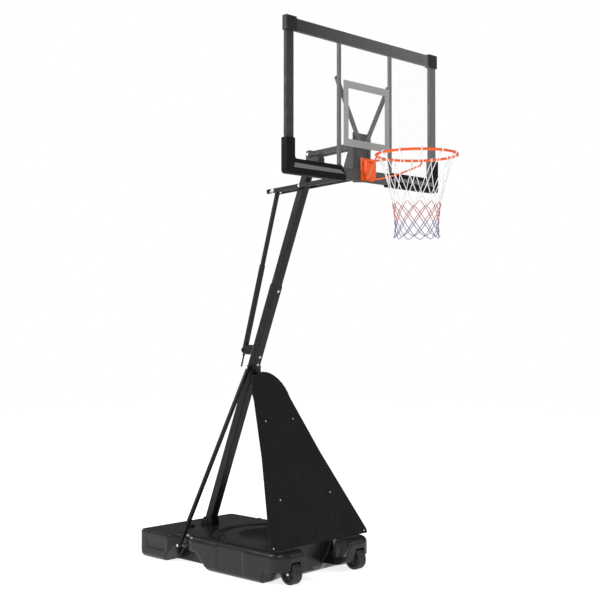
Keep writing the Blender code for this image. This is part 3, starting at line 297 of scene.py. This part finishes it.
def rope(name, red_top, blue_top):
    """Braided cord, white from the ring down to red_top, then red, then blue below blue_top."""
    made = Finish(name, (0.85, 0.85, 0.85), 0.85)
    height = made.axis(2)
    edge = 0.006
    lower = made.mix(made.between(height, blue_top - edge, blue_top + edge, 0.0, 1.0),
                     (0.035, 0.035, 0.20), (0.42, 0.02, 0.035))
    tint = made.mix(made.between(height, red_top - edge, red_top + edge, 0.0, 1.0), lower,
                    (0.86, 0.86, 0.87))
    fibre = made.noise(420.0, 6.0, 0.7)
    made.colour(made.mix(made.between(fibre, 0.3, 0.8, 0.0, 0.35), tint, (0.95, 0.95, 0.96)))
    braid = made.node("ShaderNodeTexWave", Scale=260.0, Distortion=2.5)
    braid.bands_direction = "DIAGONAL"
    made.feed(braid.inputs["Vector"], made.place)
    made.bump(braid.outputs["Fac"], 0.0006, 0.7)
    made.bump(fibre, 0.0004, 0.4)
    made.shader.inputs["Sheen Weight"].default_value = 0.3
    return made.material


# ---- mesh help ---------------------------------------------------------------------------------
def piece(name, mesh, material, body, replaced=(), angle=35):
    """A shown piece that rides on a body."""
    made = bpy.data.objects.new(name, mesh)
    bpy.context.scene.collection.objects.link(made)
    mesh.materials.clear()
    mesh.materials.append(material)
    mesh.shade_smooth()
    mesh.set_sharp_from_angle(angle=math.radians(angle))
    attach(made, body)
    if replaced:
        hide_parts(*replaced)
    return made


def finished(name, work):
    """A mesh from a bmesh, with its faces turned outwards."""
    bmesh.ops.remove_doubles(work, verts=work.verts, dist=0.00001)
    bmesh.ops.recalc_face_normals(work, faces=work.faces)
    mesh = bpy.data.meshes.new(name)
    work.to_mesh(mesh)
    work.free()
    return mesh


def along(start, direction, side=UP):
    """A place at start whose Z runs along direction."""
    z = direction.normalized()
    if abs(side.dot(z)) > 0.99:
        side = X_AXIS
    x = (side - side.dot(z) * z).normalized()
    return Matrix.Translation(start) @ Matrix((x, z.cross(x), z)).transposed().to_4x4()


def lathe(work, profile, steps, place, shape=None):
    """Adds a turned shape, and returns its rings. The profile is (radius, height), top first.

    shape, if given, changes a radius by its angle and height."""
    rings = []
    for radius, height in profile:
        if radius < 1e-6:
            rings.append([work.verts.new(place @ Vector((0, 0, height)))])
            continue
        ring = []
        for step in range(steps):
            angle = 2 * math.pi * step / steps
            r = shape(radius, angle, height) if shape else radius
            spot = Vector((r * math.cos(angle), r * math.sin(angle), height))
            ring.append(work.verts.new(place @ spot))
        rings.append(ring)
    for upper, lower in zip(rings, rings[1:]):
        for step in range(steps):
            follow = (step + 1) % steps
            corners = [upper[step % len(upper)], lower[step % len(lower)],
                       lower[follow % len(lower)], upper[follow % len(upper)]]
            corners = list(dict.fromkeys(corners))
            if len(corners) > 2:
                work.faces.new(corners)
    return rings


def tube_mesh(work, points, radius, sides=8, closed=False, taper=None):
    """Adds a round cord along points, with a frame that doesn't twist."""
    count = len(points)
    rings = []
    tangent = normal = None
    for index, point in enumerate(points):
        before = points[index - 1] if index or closed else point
        after = points[(index + 1) % count] if index + 1 < count or closed else point
        direction = (after - before).normalized()
        if normal is None:
            normal = direction.orthogonal().normalized()
        else:
            turn = tangent.rotation_difference(direction)
            normal = (turn @ normal).normalized()
        tangent = direction
        other = direction.cross(normal)
        r = radius * (taper(index / (count - 1)) if taper else 1)
        rings.append([work.verts.new(point + r * (math.cos(a) * normal + math.sin(a) * other))
                      for a in (2 * math.pi * s / sides for s in range(sides))])
    for upper, lower in zip(rings, rings[1:]):
        for side in range(sides):
            follow = (side + 1) % sides
            work.faces.new((upper[side], upper[follow], lower[follow], lower[side]))
    if closed:
        shift = min(range(sides), key=lambda s: (rings[0][s].co - rings[-1][0].co).length)
        for side in range(sides):
            follow = (side + 1) % sides
            work.faces.new((rings[-1][side], rings[-1][follow], rings[0][(follow + shift) % sides],
                            rings[0][(side + shift) % sides]))
    else:
        work.faces.new(rings[0])
        work.faces.new(rings[-1])


def smooth_path(points):
    """Catmull-Rom points through a route."""
    steps = 5
    route = []
    for index in range(len(points) - 1):
        a = points[max(index - 1, 0)]
        b, c = points[index], points[index + 1]
        d = points[min(index + 2, len(points) - 1)]
        for step in range(steps):
            t = step / steps
            route.append(0.5 * ((2 * b) + (c - a) * t + (2 * a - 5 * b + 4 * c - d) * t * t
                                + (3 * b - a - 3 * c + d) * t ** 3))
    route.append(points[-1])
    return route


def prism(work, outline, low, high, place=None):
    """Adds an outline extruded from low to high."""
    place = place or Matrix()
    rings = [[work.verts.new(place @ Vector((x, y, z))) for x, y in outline] for z in (low, high)]
    count = len(outline)
    for i in range(count):
        j = (i + 1) % count
        work.faces.new((rings[0][i], rings[0][j], rings[1][j], rings[1][i]))
    work.faces.new(list(reversed(rings[0])))
    work.faces.new(rings[1])


def block(work, low, high, place=None):
    """Adds a box between two corners."""
    prism(work, [(low[0], low[1]), (high[0], low[1]), (high[0], high[1]), (low[0], high[1])],
          low[2], high[2], place)


def arc(centre, radius, first, last, steps):
    """Points of an arc, by angles in degrees."""
    return [(centre[0] + radius * math.cos(math.radians(first + (last - first) * s / steps)),
             centre[1] + radius * math.sin(math.radians(first + (last - first) * s / steps)))
            for s in range(steps + 1)]


def evaluated(data, *changes):
    """The mesh of a mesh or curve after modifiers, each a (kind, settings) pair."""
    guide = bpy.data.objects.new("guide", data)
    bpy.context.scene.collection.objects.link(guide)
    for kind, settings in changes:
        modifier = guide.modifiers.new(kind.lower(), kind)
        for key, value in settings.items():
            setattr(modifier, key, value)
    bpy.context.view_layer.update()
    made = bpy.data.meshes.new_from_object(guide.evaluated_get(bpy.context.evaluated_depsgraph_get()))
    bpy.data.objects.remove(guide, do_unlink=True)
    return made


def bevel(width, segments, angle):
    """The settings of a bevel on every edge sharper than angle, in degrees."""
    return {"width": width, "segments": segments, "limit_method": "ANGLE",
            "angle_limit": math.radians(angle)}


def softened(mesh, width, segments, angle=35):
    """A mesh with its edges rounded."""
    return evaluated(mesh, ("BEVEL", bevel(width, segments, angle)))


def soften_node(node, width, segments, angle):
    """Rounds the edges of a CAD node that stays in view, with a modifier."""
    modifier = NODES[node].modifiers.new("soft", "BEVEL")
    for key, value in bevel(width, segments, angle).items():
        setattr(modifier, key, value)


def cutter(work, name):
    """A hidden object for a boolean, to be removed afterwards."""
    made = bpy.data.objects.new(name, finished(name, work))
    bpy.context.scene.collection.objects.link(made)
    made.hide_render = True
    return made


# ---- the finishes in use ------------------------------------------------------------------------
camera()
studio()
STEEL = powder_coat("steel_black", (0.006, 0.006, 0.0065), (0.009, 0.009, 0.0095), 0.38)
# A lighter copy of the black powder coat: painted light for the steel seen through the acrylic.
PAINTED_LIT_STEEL = powder_coat("steel_black_painted_lit", (0.06, 0.06, 0.062), (0.08, 0.08, 0.082), 0.42)
TANK = moulded("tank_plastic", (0.004,) * 3, (0.008,) * 3, 0.27, 420.0, 0.0001, shine=0.32, wear=0.08)
CAP = moulded("cap_plastic", (0.006,) * 3, (0.010,) * 3, 0.42, 600.0, 0.0003)
PANEL = moulded("panel_black", (0.005,) * 3, (0.007,) * 3, 0.52, 700.0, 0.0003, shine=0.16)
WHEEL = moulded("wheel_plastic", (0.020,) * 3, (0.035,) * 3, 0.46, 500.0, 0.0004)
FOAM = foam("pad_foam")
ZINC = zinc("zinc_plate")
ORANGE = orange_coat("rim_orange")
ACRYLIC = acrylic("acrylic")
INK = print_ink("target_ink", 0.30)
STRIPE = print_ink("stripe_ink", 0.13)

FINISHES = {"black_steel": STEEL, "tank_plastic": TANK, "cap_plastic": CAP, "pad_foam": FOAM,
            "panel_black": PANEL, "acrylic": ACRYLIC, "rim_orange": ORANGE, "zinc": ZINC,
            "wheel_plastic": WHEEL}
for entry in frame["record"]["subparts"]:
    cad = NODES[entry["node"]]
    if entry["material_slot"] in FINISHES:
        # The tubes and braces behind the board take a lighter grey than their slot's black: painted light,
        # standing in for the veil of light the acrylic lays over them.
        behind_board = entry["node"].startswith(("rear_tube", "brace"))
        cad.data.materials.clear()
        cad.data.materials.append(PAINTED_LIT_STEEL if behind_board else FINISHES[entry["material_slot"]])


# ---- tank ----------------------------------------------------------------------------------------
DECK = 0.205
REAR_DECK = 0.185
TANK_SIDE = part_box("base_tank")[1][0]
TANK_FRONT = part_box("base_tank")[0][1]
BOWL_Y = -0.18


def tank_outline():
    """The tank from above: round front corners, tight rear corners, a waist in each flank."""
    front_corner, rear_corner = 0.10, 0.040
    back = -TANK_FRONT
    waist_y, waist_half, waist_depth = 0.262, 0.13, 0.050
    right = [(0, TANK_FRONT)]
    right += arc((TANK_SIDE - front_corner, TANK_FRONT + front_corner), front_corner, -90, 0, 12)
    for i in range(17):
        share = i / 16
        depth = waist_depth * (0.5 - 0.5 * math.cos(2 * math.pi * share))
        right.append((TANK_SIDE - depth, waist_y + waist_half * (2 * share - 1)))
    right += arc((TANK_SIDE - rear_corner, back - rear_corner), rear_corner, 0, 90, 8)
    return right + [(-x, y) for x, y in reversed(right[1:])]


def tank_blank():
    """The outline as a slab with rolled edges."""
    edge = 0.038
    shell = bpy.data.curves.new("tank_outline", "CURVE")
    shell.dimensions = "2D"
    shell.fill_mode = "BOTH"
    shell.extrude = DECK / 2 - edge
    shell.bevel_depth = edge
    shell.bevel_resolution = 4
    shell.offset = -edge
    outline = tank_outline()
    spline = shell.splines.new("POLY")
    spline.points.add(len(outline) - 1)
    for point, (x, y) in zip(spline.points, outline):
        point.co = (x, y, 0, 1)
    spline.use_cyclic_u = True
    mesh = evaluated(shell)
    mesh.transform(Matrix.Translation((0, 0, DECK / 2)))
    work = bmesh.new()
    work.from_mesh(mesh)
    return finished("tank", work)


def hull(work, corners):
    """Adds the solid between eight corners: four below, then the four above them."""
    verts = [work.verts.new(corner) for corner in corners]
    for face in ((3, 2, 1, 0), (4, 5, 6, 7), (0, 1, 5, 4), (1, 2, 6, 5), (2, 3, 7, 6), (3, 0, 4, 7)):
        work.faces.new([verts[i] for i in face])


def tank_cuts():
    """What is taken out of the tank, as functions that fill a bmesh."""
    below, above, beyond = -0.05, 0.25, 1
    cuts = [lambda w: block(w, (-beyond, -TANK_FRONT - 0.36, REAR_DECK), (beyond, beyond, beyond))]

    bowl = [(0, 0.4), (0.226, 0.4), (0.226, DECK + 0.001), (0.219, DECK - 0.004), (0.196, DECK - 0.021),
            (0.165, DECK - 0.030), (0.100, DECK - 0.034), (0, DECK - 0.035)]
    cuts.append(lambda w: lathe(w, bowl, 96, Matrix.Translation((0, BOWL_Y, 0))))

    channel_radius = 0.355
    channel = [Vector((channel_radius * math.cos(a), BOWL_Y + channel_radius * math.sin(a), DECK + 0.014))
               for a in (math.radians(8 + 4 * i) for i in range(42))]

    def run_out(share):
        """The channel narrows towards both ends."""
        return min(1.0, 0.35 + 4 * min(share, 1 - share))

    cuts.append(lambda w: tube_mesh(w, channel, 0.036, 20, taper=run_out))

    back, front = TANK_FRONT + 0.14, TANK_FRONT - 0.06
    recess = [(side * half, y, z)
              for near, far, rear, z in ((0.085, 0.060, back + 0.010, below), (0.275, 0.205, back, above))
              for side, half, y in ((-1, near, front), (1, near, front), (1, far, rear), (-1, far, rear))]
    cuts.append(lambda w: hull(w, recess))
    cuts.append(lambda w: block(w, (-0.26, -TANK_FRONT - 0.003, 0.07), (0.26, beyond, 0.135)))
    for _, sign in SIDES:
        cuts += flank_cuts(sign)
    return cuts


def flank_cuts(sign):
    """One flank's hand-hold, wheel arch, raised skirt and moulded panels."""
    inner, outer, below = TANK_SIDE - 0.130, TANK_SIDE + 0.1, -0.05
    wide, narrow = ((-0.09, -0.07), (0.48, -0.07)), ((0.095, 0.107), (0.345, 0.107))
    hold = [(sign * x, y, z) for (first, z), (last, _) in (wide, narrow)
            for x, y in ((inner, first), (outer, first), (outer, last), (inner, last))]
    cuts = [lambda w: hull(w, hold)]

    low, high, centre = span("wheel_left" if sign < 0 else "wheel_right")
    room = 0.010
    half = (high.x - low.x) / 2 + room
    radius = (high.z - low.z) / 2 + room
    front = TANK_FRONT - 0.1
    arch = along(Vector((centre.x - half, centre.y, centre.z)), X_AXIS)
    cuts.append(lambda w: lathe(w, [(0, 2 * half), (radius, 2 * half), (radius, 0), (0, 0)], 48, arch))
    cuts.append(lambda w: block(w, (centre.x - half, front, below),
                                (centre.x + half, centre.y + radius, centre.z)))

    edges = sorted((centre.x + sign * (half - 0.002), sign * (TANK_SIDE + 0.05)))
    skirt = [(edges[i], y, z) for rear, z in ((centre.y + 0.155, below), (centre.y + 0.10, 0.076))
             for i, y in ((0, front), (1, front), (1, rear), (0, rear))]
    cuts.append(lambda w: hull(w, skirt))

    depth = 0.003
    faces = sorted((sign * (TANK_SIDE - depth), sign * outer))
    for first, last, foot, top in ((-0.352, -0.107, below, 0.3), (0.40, 0.60, 0.07, 0.135)):
        cuts.append(lambda w, first=first, last=last, foot=foot, top=top:
                    block(w, (faces[0], first, foot), (faces[1], last, top)))
    return cuts


def tank():
    """The blow-moulded tank, remeshed so that every edge has a moulding's soft radius."""
    cap_low, _, cap_mid = span("filler_cap")
    seat = Matrix.Translation((cap_mid.x, cap_mid.y, 0))
    lip, foot = REAR_DECK - 0.0005, 0.1
    neck = [(0, lip), (0.048, lip), (0.054, lip - 0.0035), (0.054, foot), (0, foot)]
    bore = [(0, 0.4), (0.030, 0.4), (0.030, cap_low.z - 0.01), (0, cap_low.z - 0.01)]
    steps = [(fill, "DIFFERENCE") for fill in tank_cuts()]
    steps.append((lambda w: lathe(w, neck, 40, seat), "UNION"))
    steps.append((lambda w: lathe(w, bore, 32, seat), "DIFFERENCE"))
    tools, changes = [], []
    for fill, kind in steps:
        work = bmesh.new()
        fill(work)
        tools.append(cutter(work, "tank_tool"))
        changes.append(("BOOLEAN", {"object": tools[-1], "operation": kind, "solver": "EXACT"}))
    changes.append(("REMESH", {"mode": "VOXEL", "voxel_size": 0.0048, "adaptivity": 0.0}))
    changes.append(("SMOOTH", {"factor": 0.5, "iterations": 8}))
    changes.append(("DECIMATE", {"ratio": 0.30}))
    mesh = evaluated(tank_blank(), *changes)
    for tool in tools:
        bpy.data.objects.remove(tool, do_unlink=True)
    raise_chin(mesh)
    piece("tank", mesh, TANK, "base", ("base_tank",), angle=60)


def raise_chin(mesh):
    """Lifts the underside in front, so that the tank clears the floor between its wheels."""
    rise, limit, first, last = 0.058, 0.100, TANK_FRONT + 0.13, TANK_FRONT + 0.19
    for vertex in mesh.vertices:
        share = min(1.0, max(0.0, (last - vertex.co.y) / (last - first)))
        lift = rise * share * share * (3 - 2 * share)
        if vertex.co.z < limit:
            vertex.co.z = lift + vertex.co.z * (limit - lift) / limit


def closed_lathe(work, profile, steps, place):
    """A turned ring whose profile closes on itself."""
    rings = lathe(work, profile, steps, place)
    first, last = rings[0], rings[-1]
    for step in range(steps):
        follow = (step + 1) % steps
        work.faces.new((last[step], first[step], first[follow], last[follow]))


# ---- wheels, cap, bolts ----------------------------------------------------------------------------
def wheels():
    """Moulded wheels with dished, spoked faces and a grooved tread, on bright axle bolts."""
    for name, sign in SIDES:
        low, high, centre = span("wheel_" + name)
        radius, half = (high.z - low.z) / 2, (high.x - low.x) / 2 + 0.003
        work = bmesh.new()
        place = along(centre, X_AXIS)
        face = [(0.0075, half), (0.016, half), (0.0175, half - 0.002), (0.019, half - 0.012),
                (0.043, half - 0.012), (0.045, half - 0.003), (0.048, half - 0.0005),
                (0.0605, half - 0.0008), (0.0640, half - 0.0022), (0.0662, half - 0.0045),
                (0.0676, half - 0.0080)]
        floor = radius - 0.0018
        tread = []
        for groove in (0.0165, 0.0085):
            tread += [(radius, groove + 0.0030), (floor, groove + 0.0016), (floor, groove),
                      (radius, groove - 0.0014)]
        upper = face + tread
        profile = upper + [(floor, 0.0005), (floor, -0.0005)]
        profile += [(r, -z) for r, z in reversed(upper)]
        closed_lathe(work, profile, 72, place)
        spokes = 5
        for spoke in range(spokes):
            turn = place @ Matrix.Rotation(2 * math.pi * spoke / spokes, 4, "Z")
            for face_sign in (-1, 1):
                z = sorted((face_sign * (half - 0.0135), face_sign * (half - 0.0035)))
                block(work, (0.017, -0.0035, z[0]), (0.0455, 0.0035, z[1]), turn)
        mesh = softened(finished("wheel", work), 0.0008, 2)
        piece("wheel_tyre_" + name, mesh, WHEEL, "wheel_" + name, ("wheel_" + name,))

        axle_low, axle_high, axle = span("wheel_axle_" + name)
        end = axle_high.x if sign > 0 else axle_low.x
        start = axle_low.x if sign > 0 else axle_high.x
        work = bmesh.new()
        place = along(Vector((end, axle.y, axle.z)), sign * X_AXIS)
        length = abs(end - start)
        head = [(0, 0.0), (0.004, -0.0003), (0.0085, -0.0022), (0.0108, -0.0058), (0.0108, -0.0062),
                (0.006, -0.0062), (0.006, -length), (0, -length)]
        lathe(work, head, 32, place)
        piece("axle_bolt_" + name, finished("axle", work), ZINC, "base", ("wheel_axle_" + name,))


WASHER = 0.0012


def hexagon(radius, angle, _):
    """The radius of a hexagon of that corner radius, at an angle."""
    sector = math.pi / 3
    return radius * math.cos(sector / 2) / math.cos((angle % sector) - sector / 2)


def hex_end(work, place, radius, height):
    """A hex head with a chamfered top on a washer; the washer's underside is at z = 0."""
    lathe(work, [(0, WASHER), (radius, WASHER), (radius, 0.0002), (radius - 0.0004, 0), (0, 0)], 36, place)
    top = WASHER + height
    corner = 0.90 * radius
    lathe(work, [(0, top), (0.72 * radius, top), (corner, top - 0.0009), (corner, WASHER), (0, WASHER)],
          36, place, hexagon)


def bolt(name, start, end, radius, shank, body, replaced):
    """A hex bolt from start to end: a head, a washer and a nut with the thread's end."""
    work = bmesh.new()
    run = (end - start).normalized()
    length = (end - start).length
    height = 0.0035
    thick = height + WASHER
    hex_end(work, along(end - thick * run, run), radius, height)
    hex_end(work, along(start + thick * run, -run), radius, height - 0.0006)
    head = length - thick
    lathe(work, [(0, head), (shank, head), (shank, 0.0005), (shank - 0.0005, 0), (0, 0)], 20,
          along(start, run))
    finish = STEEL if "foot" in name else ZINC
    piece(name, finished(name, work), finish, body, replaced)


def bolts():
    """Every CAD bolt that shows, as a hex bolt of the same reach."""
    thick_shank, thin_shank = 0.005, 0.004
    across = (("lower_pivot_bolt", "lower_arms", thick_shank),
              ("upper_pivot_bolt", "upper_arms", thick_shank),
              ("lower_front_bolt", "backboard", thick_shank),
              ("upper_front_bolt", "backboard", thick_shank),
              ("strut_top_bolt", "base", thin_shank),
              ("pole_foot_bolt", "base", thin_shank),
              ("jack_top_pin", "jack_inner", thick_shank))
    for node, body, shank in across:
        low, high, centre = span(node)
        bolt("hex_" + node, Vector((low.x, centre.y, centre.z)), Vector((high.x, centre.y, centre.z)),
             (high.z - low.z) / 2, shank, body, (node,))

    back = Vector((0, math.cos(POLE_LEAN), math.sin(POLE_LEAN)))
    head_radius = 0.0078
    for node in ("pole_bolt_lower", "pole_bolt_middle", "pole_bolt_upper"):
        low, high, centre = span(node)
        reach = (high.y - low.y - 2 * head_radius * math.sin(POLE_LEAN)) / math.cos(POLE_LEAN) / 2
        bolt("hex_" + node, centre + reach * back, centre - reach * back, (high.x - low.x) / 2,
             thin_shank, "base", (node,))


def filler_cap():
    """A ribbed screw cap with a sunk top and a grip bar across it."""
    low, high, centre = span("filler_cap")
    work = bmesh.new()
    top, deck = high.z, high.z - 0.014
    axis = Matrix.Translation((centre.x, centre.y, 0))
    rib_count, rib_depth = 28, 0.0011

    def ribs(radius, angle, height):
        if radius < 0.030 or height > top - 0.002:
            return radius
        return radius - rib_depth * (0.5 + 0.5 * math.cos(rib_count * angle))

    profile = [(0, top - 0.002), (0.020, top - 0.002), (0.0215, top), (0.029, top),
               (0.0325, top - 0.0015), (0.0338, top - 0.004), (0.0340, deck + 0.0005), (0.0335, deck),
               (0.0252, deck), (0.0252, low.z), (0, low.z)]
    lathe(work, profile, 6 * rib_count, axis, ribs)
    block(work, (-0.018, -0.003, top - 0.0025), (0.018, 0.003, top - 0.0002),
          axis @ Matrix.Rotation(0.5, 4, "Z"))
    piece("screw_cap", finished("cap", work), CAP, "filler_cap", ("filler_cap",))


# ---- backboard ---------------------------------------------------------------------------------------
def target_square():
    """The printed square: a thin layer of ink on the sheet's front, with mitred corners."""
    low, _, _ = span("backboard_sheet")
    half, line = 0.2135, 0.045
    top, bottom = low.z + 0.593, low.z + 0.200
    outer = [(-half, bottom), (half, bottom), (half, top), (-half, top)]
    inner = [(-half + line, bottom + line), (half - line, bottom + line), (half - line, top - line),
             (-half + line, top - line)]
    work = bmesh.new()
    rings = []
    for y in (low.y - 0.0004, low.y - 0.0001):
        rings.append([[work.verts.new((x, y, z)) for x, z in outline] for outline in (outer, inner)])
    (front_out, front_in), (back_out, back_in) = rings
    for i in range(4):
        j = (i + 1) % 4
        work.faces.new((front_out[i], front_out[j], front_in[j], front_in[i]))
        work.faces.new((back_out[j], back_out[i], back_in[i], back_in[j]))
        work.faces.new((front_out[j], front_out[i], back_out[i], back_out[j]))
        work.faces.new((front_in[i], front_in[j], back_in[j], back_in[i]))
    piece("target_square", finished("target", work), INK, "backboard")


def corner_caps():
    """The CAD's corner caps with soft edges, and a screw in the back of each."""
    for name, _ in SIDES:
        node = "corner_cap_" + name
        _, high, centre = span(node)
        soften_node(node, 0.0018, 3, 30)
        work = bmesh.new()
        place = along(Vector((centre.x, high.y, centre.z)), Vector((0, 1, 0)))
        lathe(work, [(0, 0.0012), (0.0015, 0.0012), (0.0018, 0.0022), (0.0045, 0.0018), (0.0055, 0.0002),
                     (0.0055, -0.001), (0, -0.001)], 24, place)
        piece("cap_screw_" + name, finished("screw", work), ZINC, "backboard")


def pads():
    """Foam pads with round edges, room for the sheet and its frame, and a printed stripe."""
    sheet_low, sheet_high, _ = span("backboard_sheet")
    _, frame_high, _ = span("frame_bottom")
    for name, sign in SIDES:
        node = "pad_" + name
        low, high, _ = span(node)
        outer, foot, top = max(abs(low.x), abs(high.x)), low.z, high.z
        end = min(abs(low.x), abs(high.x))
        inner = sheet_high.x - 0.058
        shelf = sheet_low.z + 0.078
        outline = arc((outer - 0.022, foot + 0.022), 0.022, -90, 0, 6)
        outline += arc((outer - 0.008, top - 0.008), 0.008, 0, 90, 3)
        outline += arc((inner + 0.008, top - 0.008), 0.008, 90, 180, 3)
        outline += arc((inner - 0.016, shelf + 0.016), 0.016, 0, -90, 5)
        outline += [(end + 0.034, shelf)]
        outline += arc((end + 0.012, foot + 0.034), 0.012, 160, 180, 2)
        outline += arc((end + 0.006, foot + 0.006), 0.006, 180, 270, 3)
        work = bmesh.new()
        turn = Matrix(((1, 0, 0), (0, 0, -1), (0, 1, 0))).to_4x4()
        place = Matrix.Translation((0, high.y, 0)) @ turn
        prism(work, [(sign * x, z) for x, z in outline], 0, high.y - low.y, place)
        mesh = softened(finished("pad", work), 0.0045, 4, 50)
        room = bmesh.new()
        gap = 0.0004
        block(room, (-sheet_high.x - gap, sheet_low.y - gap, sheet_low.z - gap),
              (sheet_high.x + gap, frame_high.y + gap, sheet_high.z))
        room = cutter(room, "pad_room")
        mesh = evaluated(mesh, ("BOOLEAN", {"object": room, "operation": "DIFFERENCE", "solver": "EXACT"}))
        bpy.data.objects.remove(room, do_unlink=True)
        made = piece("foam_" + node, mesh, FOAM, "backboard", (node,), angle=40)

        work = bmesh.new()
        thick, z_low, z_high = 0.0006, foot + 0.038, foot + 0.064
        stripe = [(outer - 0.064, z_high), (end + 0.05, z_high - 0.004), (end + 0.012, z_low + 0.001),
                  (outer - 0.058, z_low)]
        prism(work, [(sign * x, z) for x, z in stripe], 0, thick, Matrix.Translation((0, low.y, 0)) @ turn)
        piece("stripe_" + name, finished("stripe", work), STRIPE, "backboard")


# ---- rim and net ----------------------------------------------------------------------------------------
RING_LOW, RING_HIGH, _ = span("rim_ring")
RING_ROD = 0.016
RING_Z = 2.567
RING_RADIUS = RING_HIGH.x - RING_ROD / 2
RING = Vector((0, RING_LOW.y + RING_HIGH.x, RING_Z))
LOOPS = 12


def net():
    """Pairs of loops round the ring, rows of diamonds with knots, and a scalloped hem.

    rows are (drop below top, radius) of the cord's joints, from the top down."""
    low, high, _ = span("net")
    cord = 0.0023
    top = high.z - 0.004
    rows = [(0.0, 0.222), (0.168, 0.164), (0.262, 0.141), (0.305, 0.134), (0.355, 0.128),
            (0.403, 0.1255), (0.447, 0.128)]
    hem_drop, hem_radius = top - low.z - 0.002, 0.136
    hem_side = (rows[-1][0] + 0.016, 0.1325)
    rope_finish = rope("net_rope", top - 0.266, top - 0.372)
    work = bmesh.new()

    def spot(step, drop, radius):
        angle = 2 * math.pi * (step + 0.5) / LOOPS
        return Vector((RING.x + radius * math.cos(angle), RING.y + radius * math.sin(angle), top - drop))

    def joint(row, index):
        return spot(index + 0.5 * row, *rows[row])

    last = len(rows) - 1
    for index in range(LOOPS):
        top_loop(work, joint(0, index), cord)
        for row in range(last):
            for side in (0, -1):
                start, end = joint(row, index), joint(row + 1, index + side)
                middle = (start + end) / 2
                outward = (middle - Vector((RING.x, RING.y, middle.z))).normalized()
                sag = -0.004 if row < 1 else 0.0025
                tube_mesh(work, smooth_path([start, middle + sag * outward, end]), cord)
        for row in range(1, last + 1):
            knot(work, joint(row, index), cord)
        step = index + 0.5 * last
        hem = [joint(last, index), spot(step + 0.30, *hem_side), spot(step + 0.5, hem_drop, hem_radius),
               spot(step + 0.70, *hem_side), joint(last, index + 1)]
        tube_mesh(work, smooth_path(hem), cord)
    piece("rope_net", finished("net", work), rope_finish, "rim", ("net",), angle=80)


def knot(work, centre, cord):
    """A small two-lobed knot."""
    profile = [(0, 1.9), (0.9, 1.5), (1.35, 0.7), (1.15, 0.0), (1.35, -0.7), (0.9, -1.5), (0, -1.9)]
    lathe(work, [(r * cord, z * cord) for r, z in profile], 10, Matrix.Translation(centre))


def top_loop(work, centre, cord):
    """Two turns of cord round the ring's rod, and the stem that hangs from them."""
    outward = Vector((centre.x - RING.x, centre.y - RING.y, 0)).normalized()
    tangent = Vector((-outward.y, outward.x, 0))
    reach = RING_ROD / 2 + cord * 0.9
    middle = RING + RING_RADIUS * outward
    steps = 18
    for side in (-1, 1):
        points = []
        for step in range(steps):
            angle = 2 * math.pi * step / steps
            across = side * (0.0030 + 0.0015 * math.cos(angle))
            points.append(middle + reach * math.cos(angle) * UP + reach * math.sin(angle) * outward
                          + across * tangent)
        tube_mesh(work, points, cord * 0.9, closed=True)
    tube_mesh(work, [middle - (reach - 0.001) * UP, centre], cord * 1.2)


# ---- small fittings ---------------------------------------------------------------------------------------
def panel_bolts():
    """Domed screws that hold the front panel to its rails and the tank."""
    low, _, _ = span("front_panel")
    normal = Vector((0, -math.cos(PANEL_LEAN), math.sin(PANEL_LEAN)))
    foot = Vector((0, low.y + 0.004 * math.cos(PANEL_LEAN), low.z))
    head = [(0, 0.0042), (0.003, 0.0040), (0.0062, 0.0026), (0.0078, 0.0006), (0.0078, -0.001), (0, -0.001)]
    work = bmesh.new()
    for half, z in ((0.125, 0.953), (0.228, 0.485), (0.415, 0.229)):
        for sign in (-1, 1):
            point = Vector((sign * half, foot.y + (z - foot.z) * math.tan(PANEL_LEAN), z))
            lathe(work, head, 24, along(point + 0.0012 * normal, normal))
    piece("panel_screws", finished("screws", work), ZINC, "base")


def arm_plugs():
    """Plastic plugs in the open ends of the arms."""
    front = Vector((0, -math.cos(ARM_RISE), math.sin(ARM_RISE)))
    for node, body in (("lower_arm", "lower_arms"), ("upper_arm", "upper_arms")):
        for name, _ in SIDES:
            low, high, centre = span(node + "_" + name)
            half = (high.y - low.y) / 2 / math.cos(ARM_RISE)
            for end, tag in ((1, "front"), (-1, "back")):
                work = bmesh.new()
                place = along(centre + end * (half - 0.0012) * front, end * front, X_AXIS)
                for size, z in (((0.0085, 0.0135), (0.0, 0.0030)), ((0.0064, 0.0114), (-0.012, 0.0002))):
                    block(work, (-size[0], -size[1], z[0]), (size[0], size[1], z[1]), place)
                mesh = softened(finished("plug", work), 0.0012, 2)
                piece("plug_" + node + "_" + name + "_" + tag, mesh, CAP, body)


def soften_cad():
    """Small radii on the CAD's plates and tubes, so that their edges catch the light."""
    for node in ("board_bracket", "pole_top_bracket", "pole_foot_bracket", "jack_bracket", "panel_bracket",
                 "front_panel", "frame_top", "frame_bottom", "frame_left", "frame_right", "rim_back_plate"):
        soften_node(node, 0.0008, 2, 40)


tank()
wheels()
bolts()
filler_cap()
target_square()
corner_caps()
pads()
net()
panel_bolts()
arm_plugs()
soften_cad()
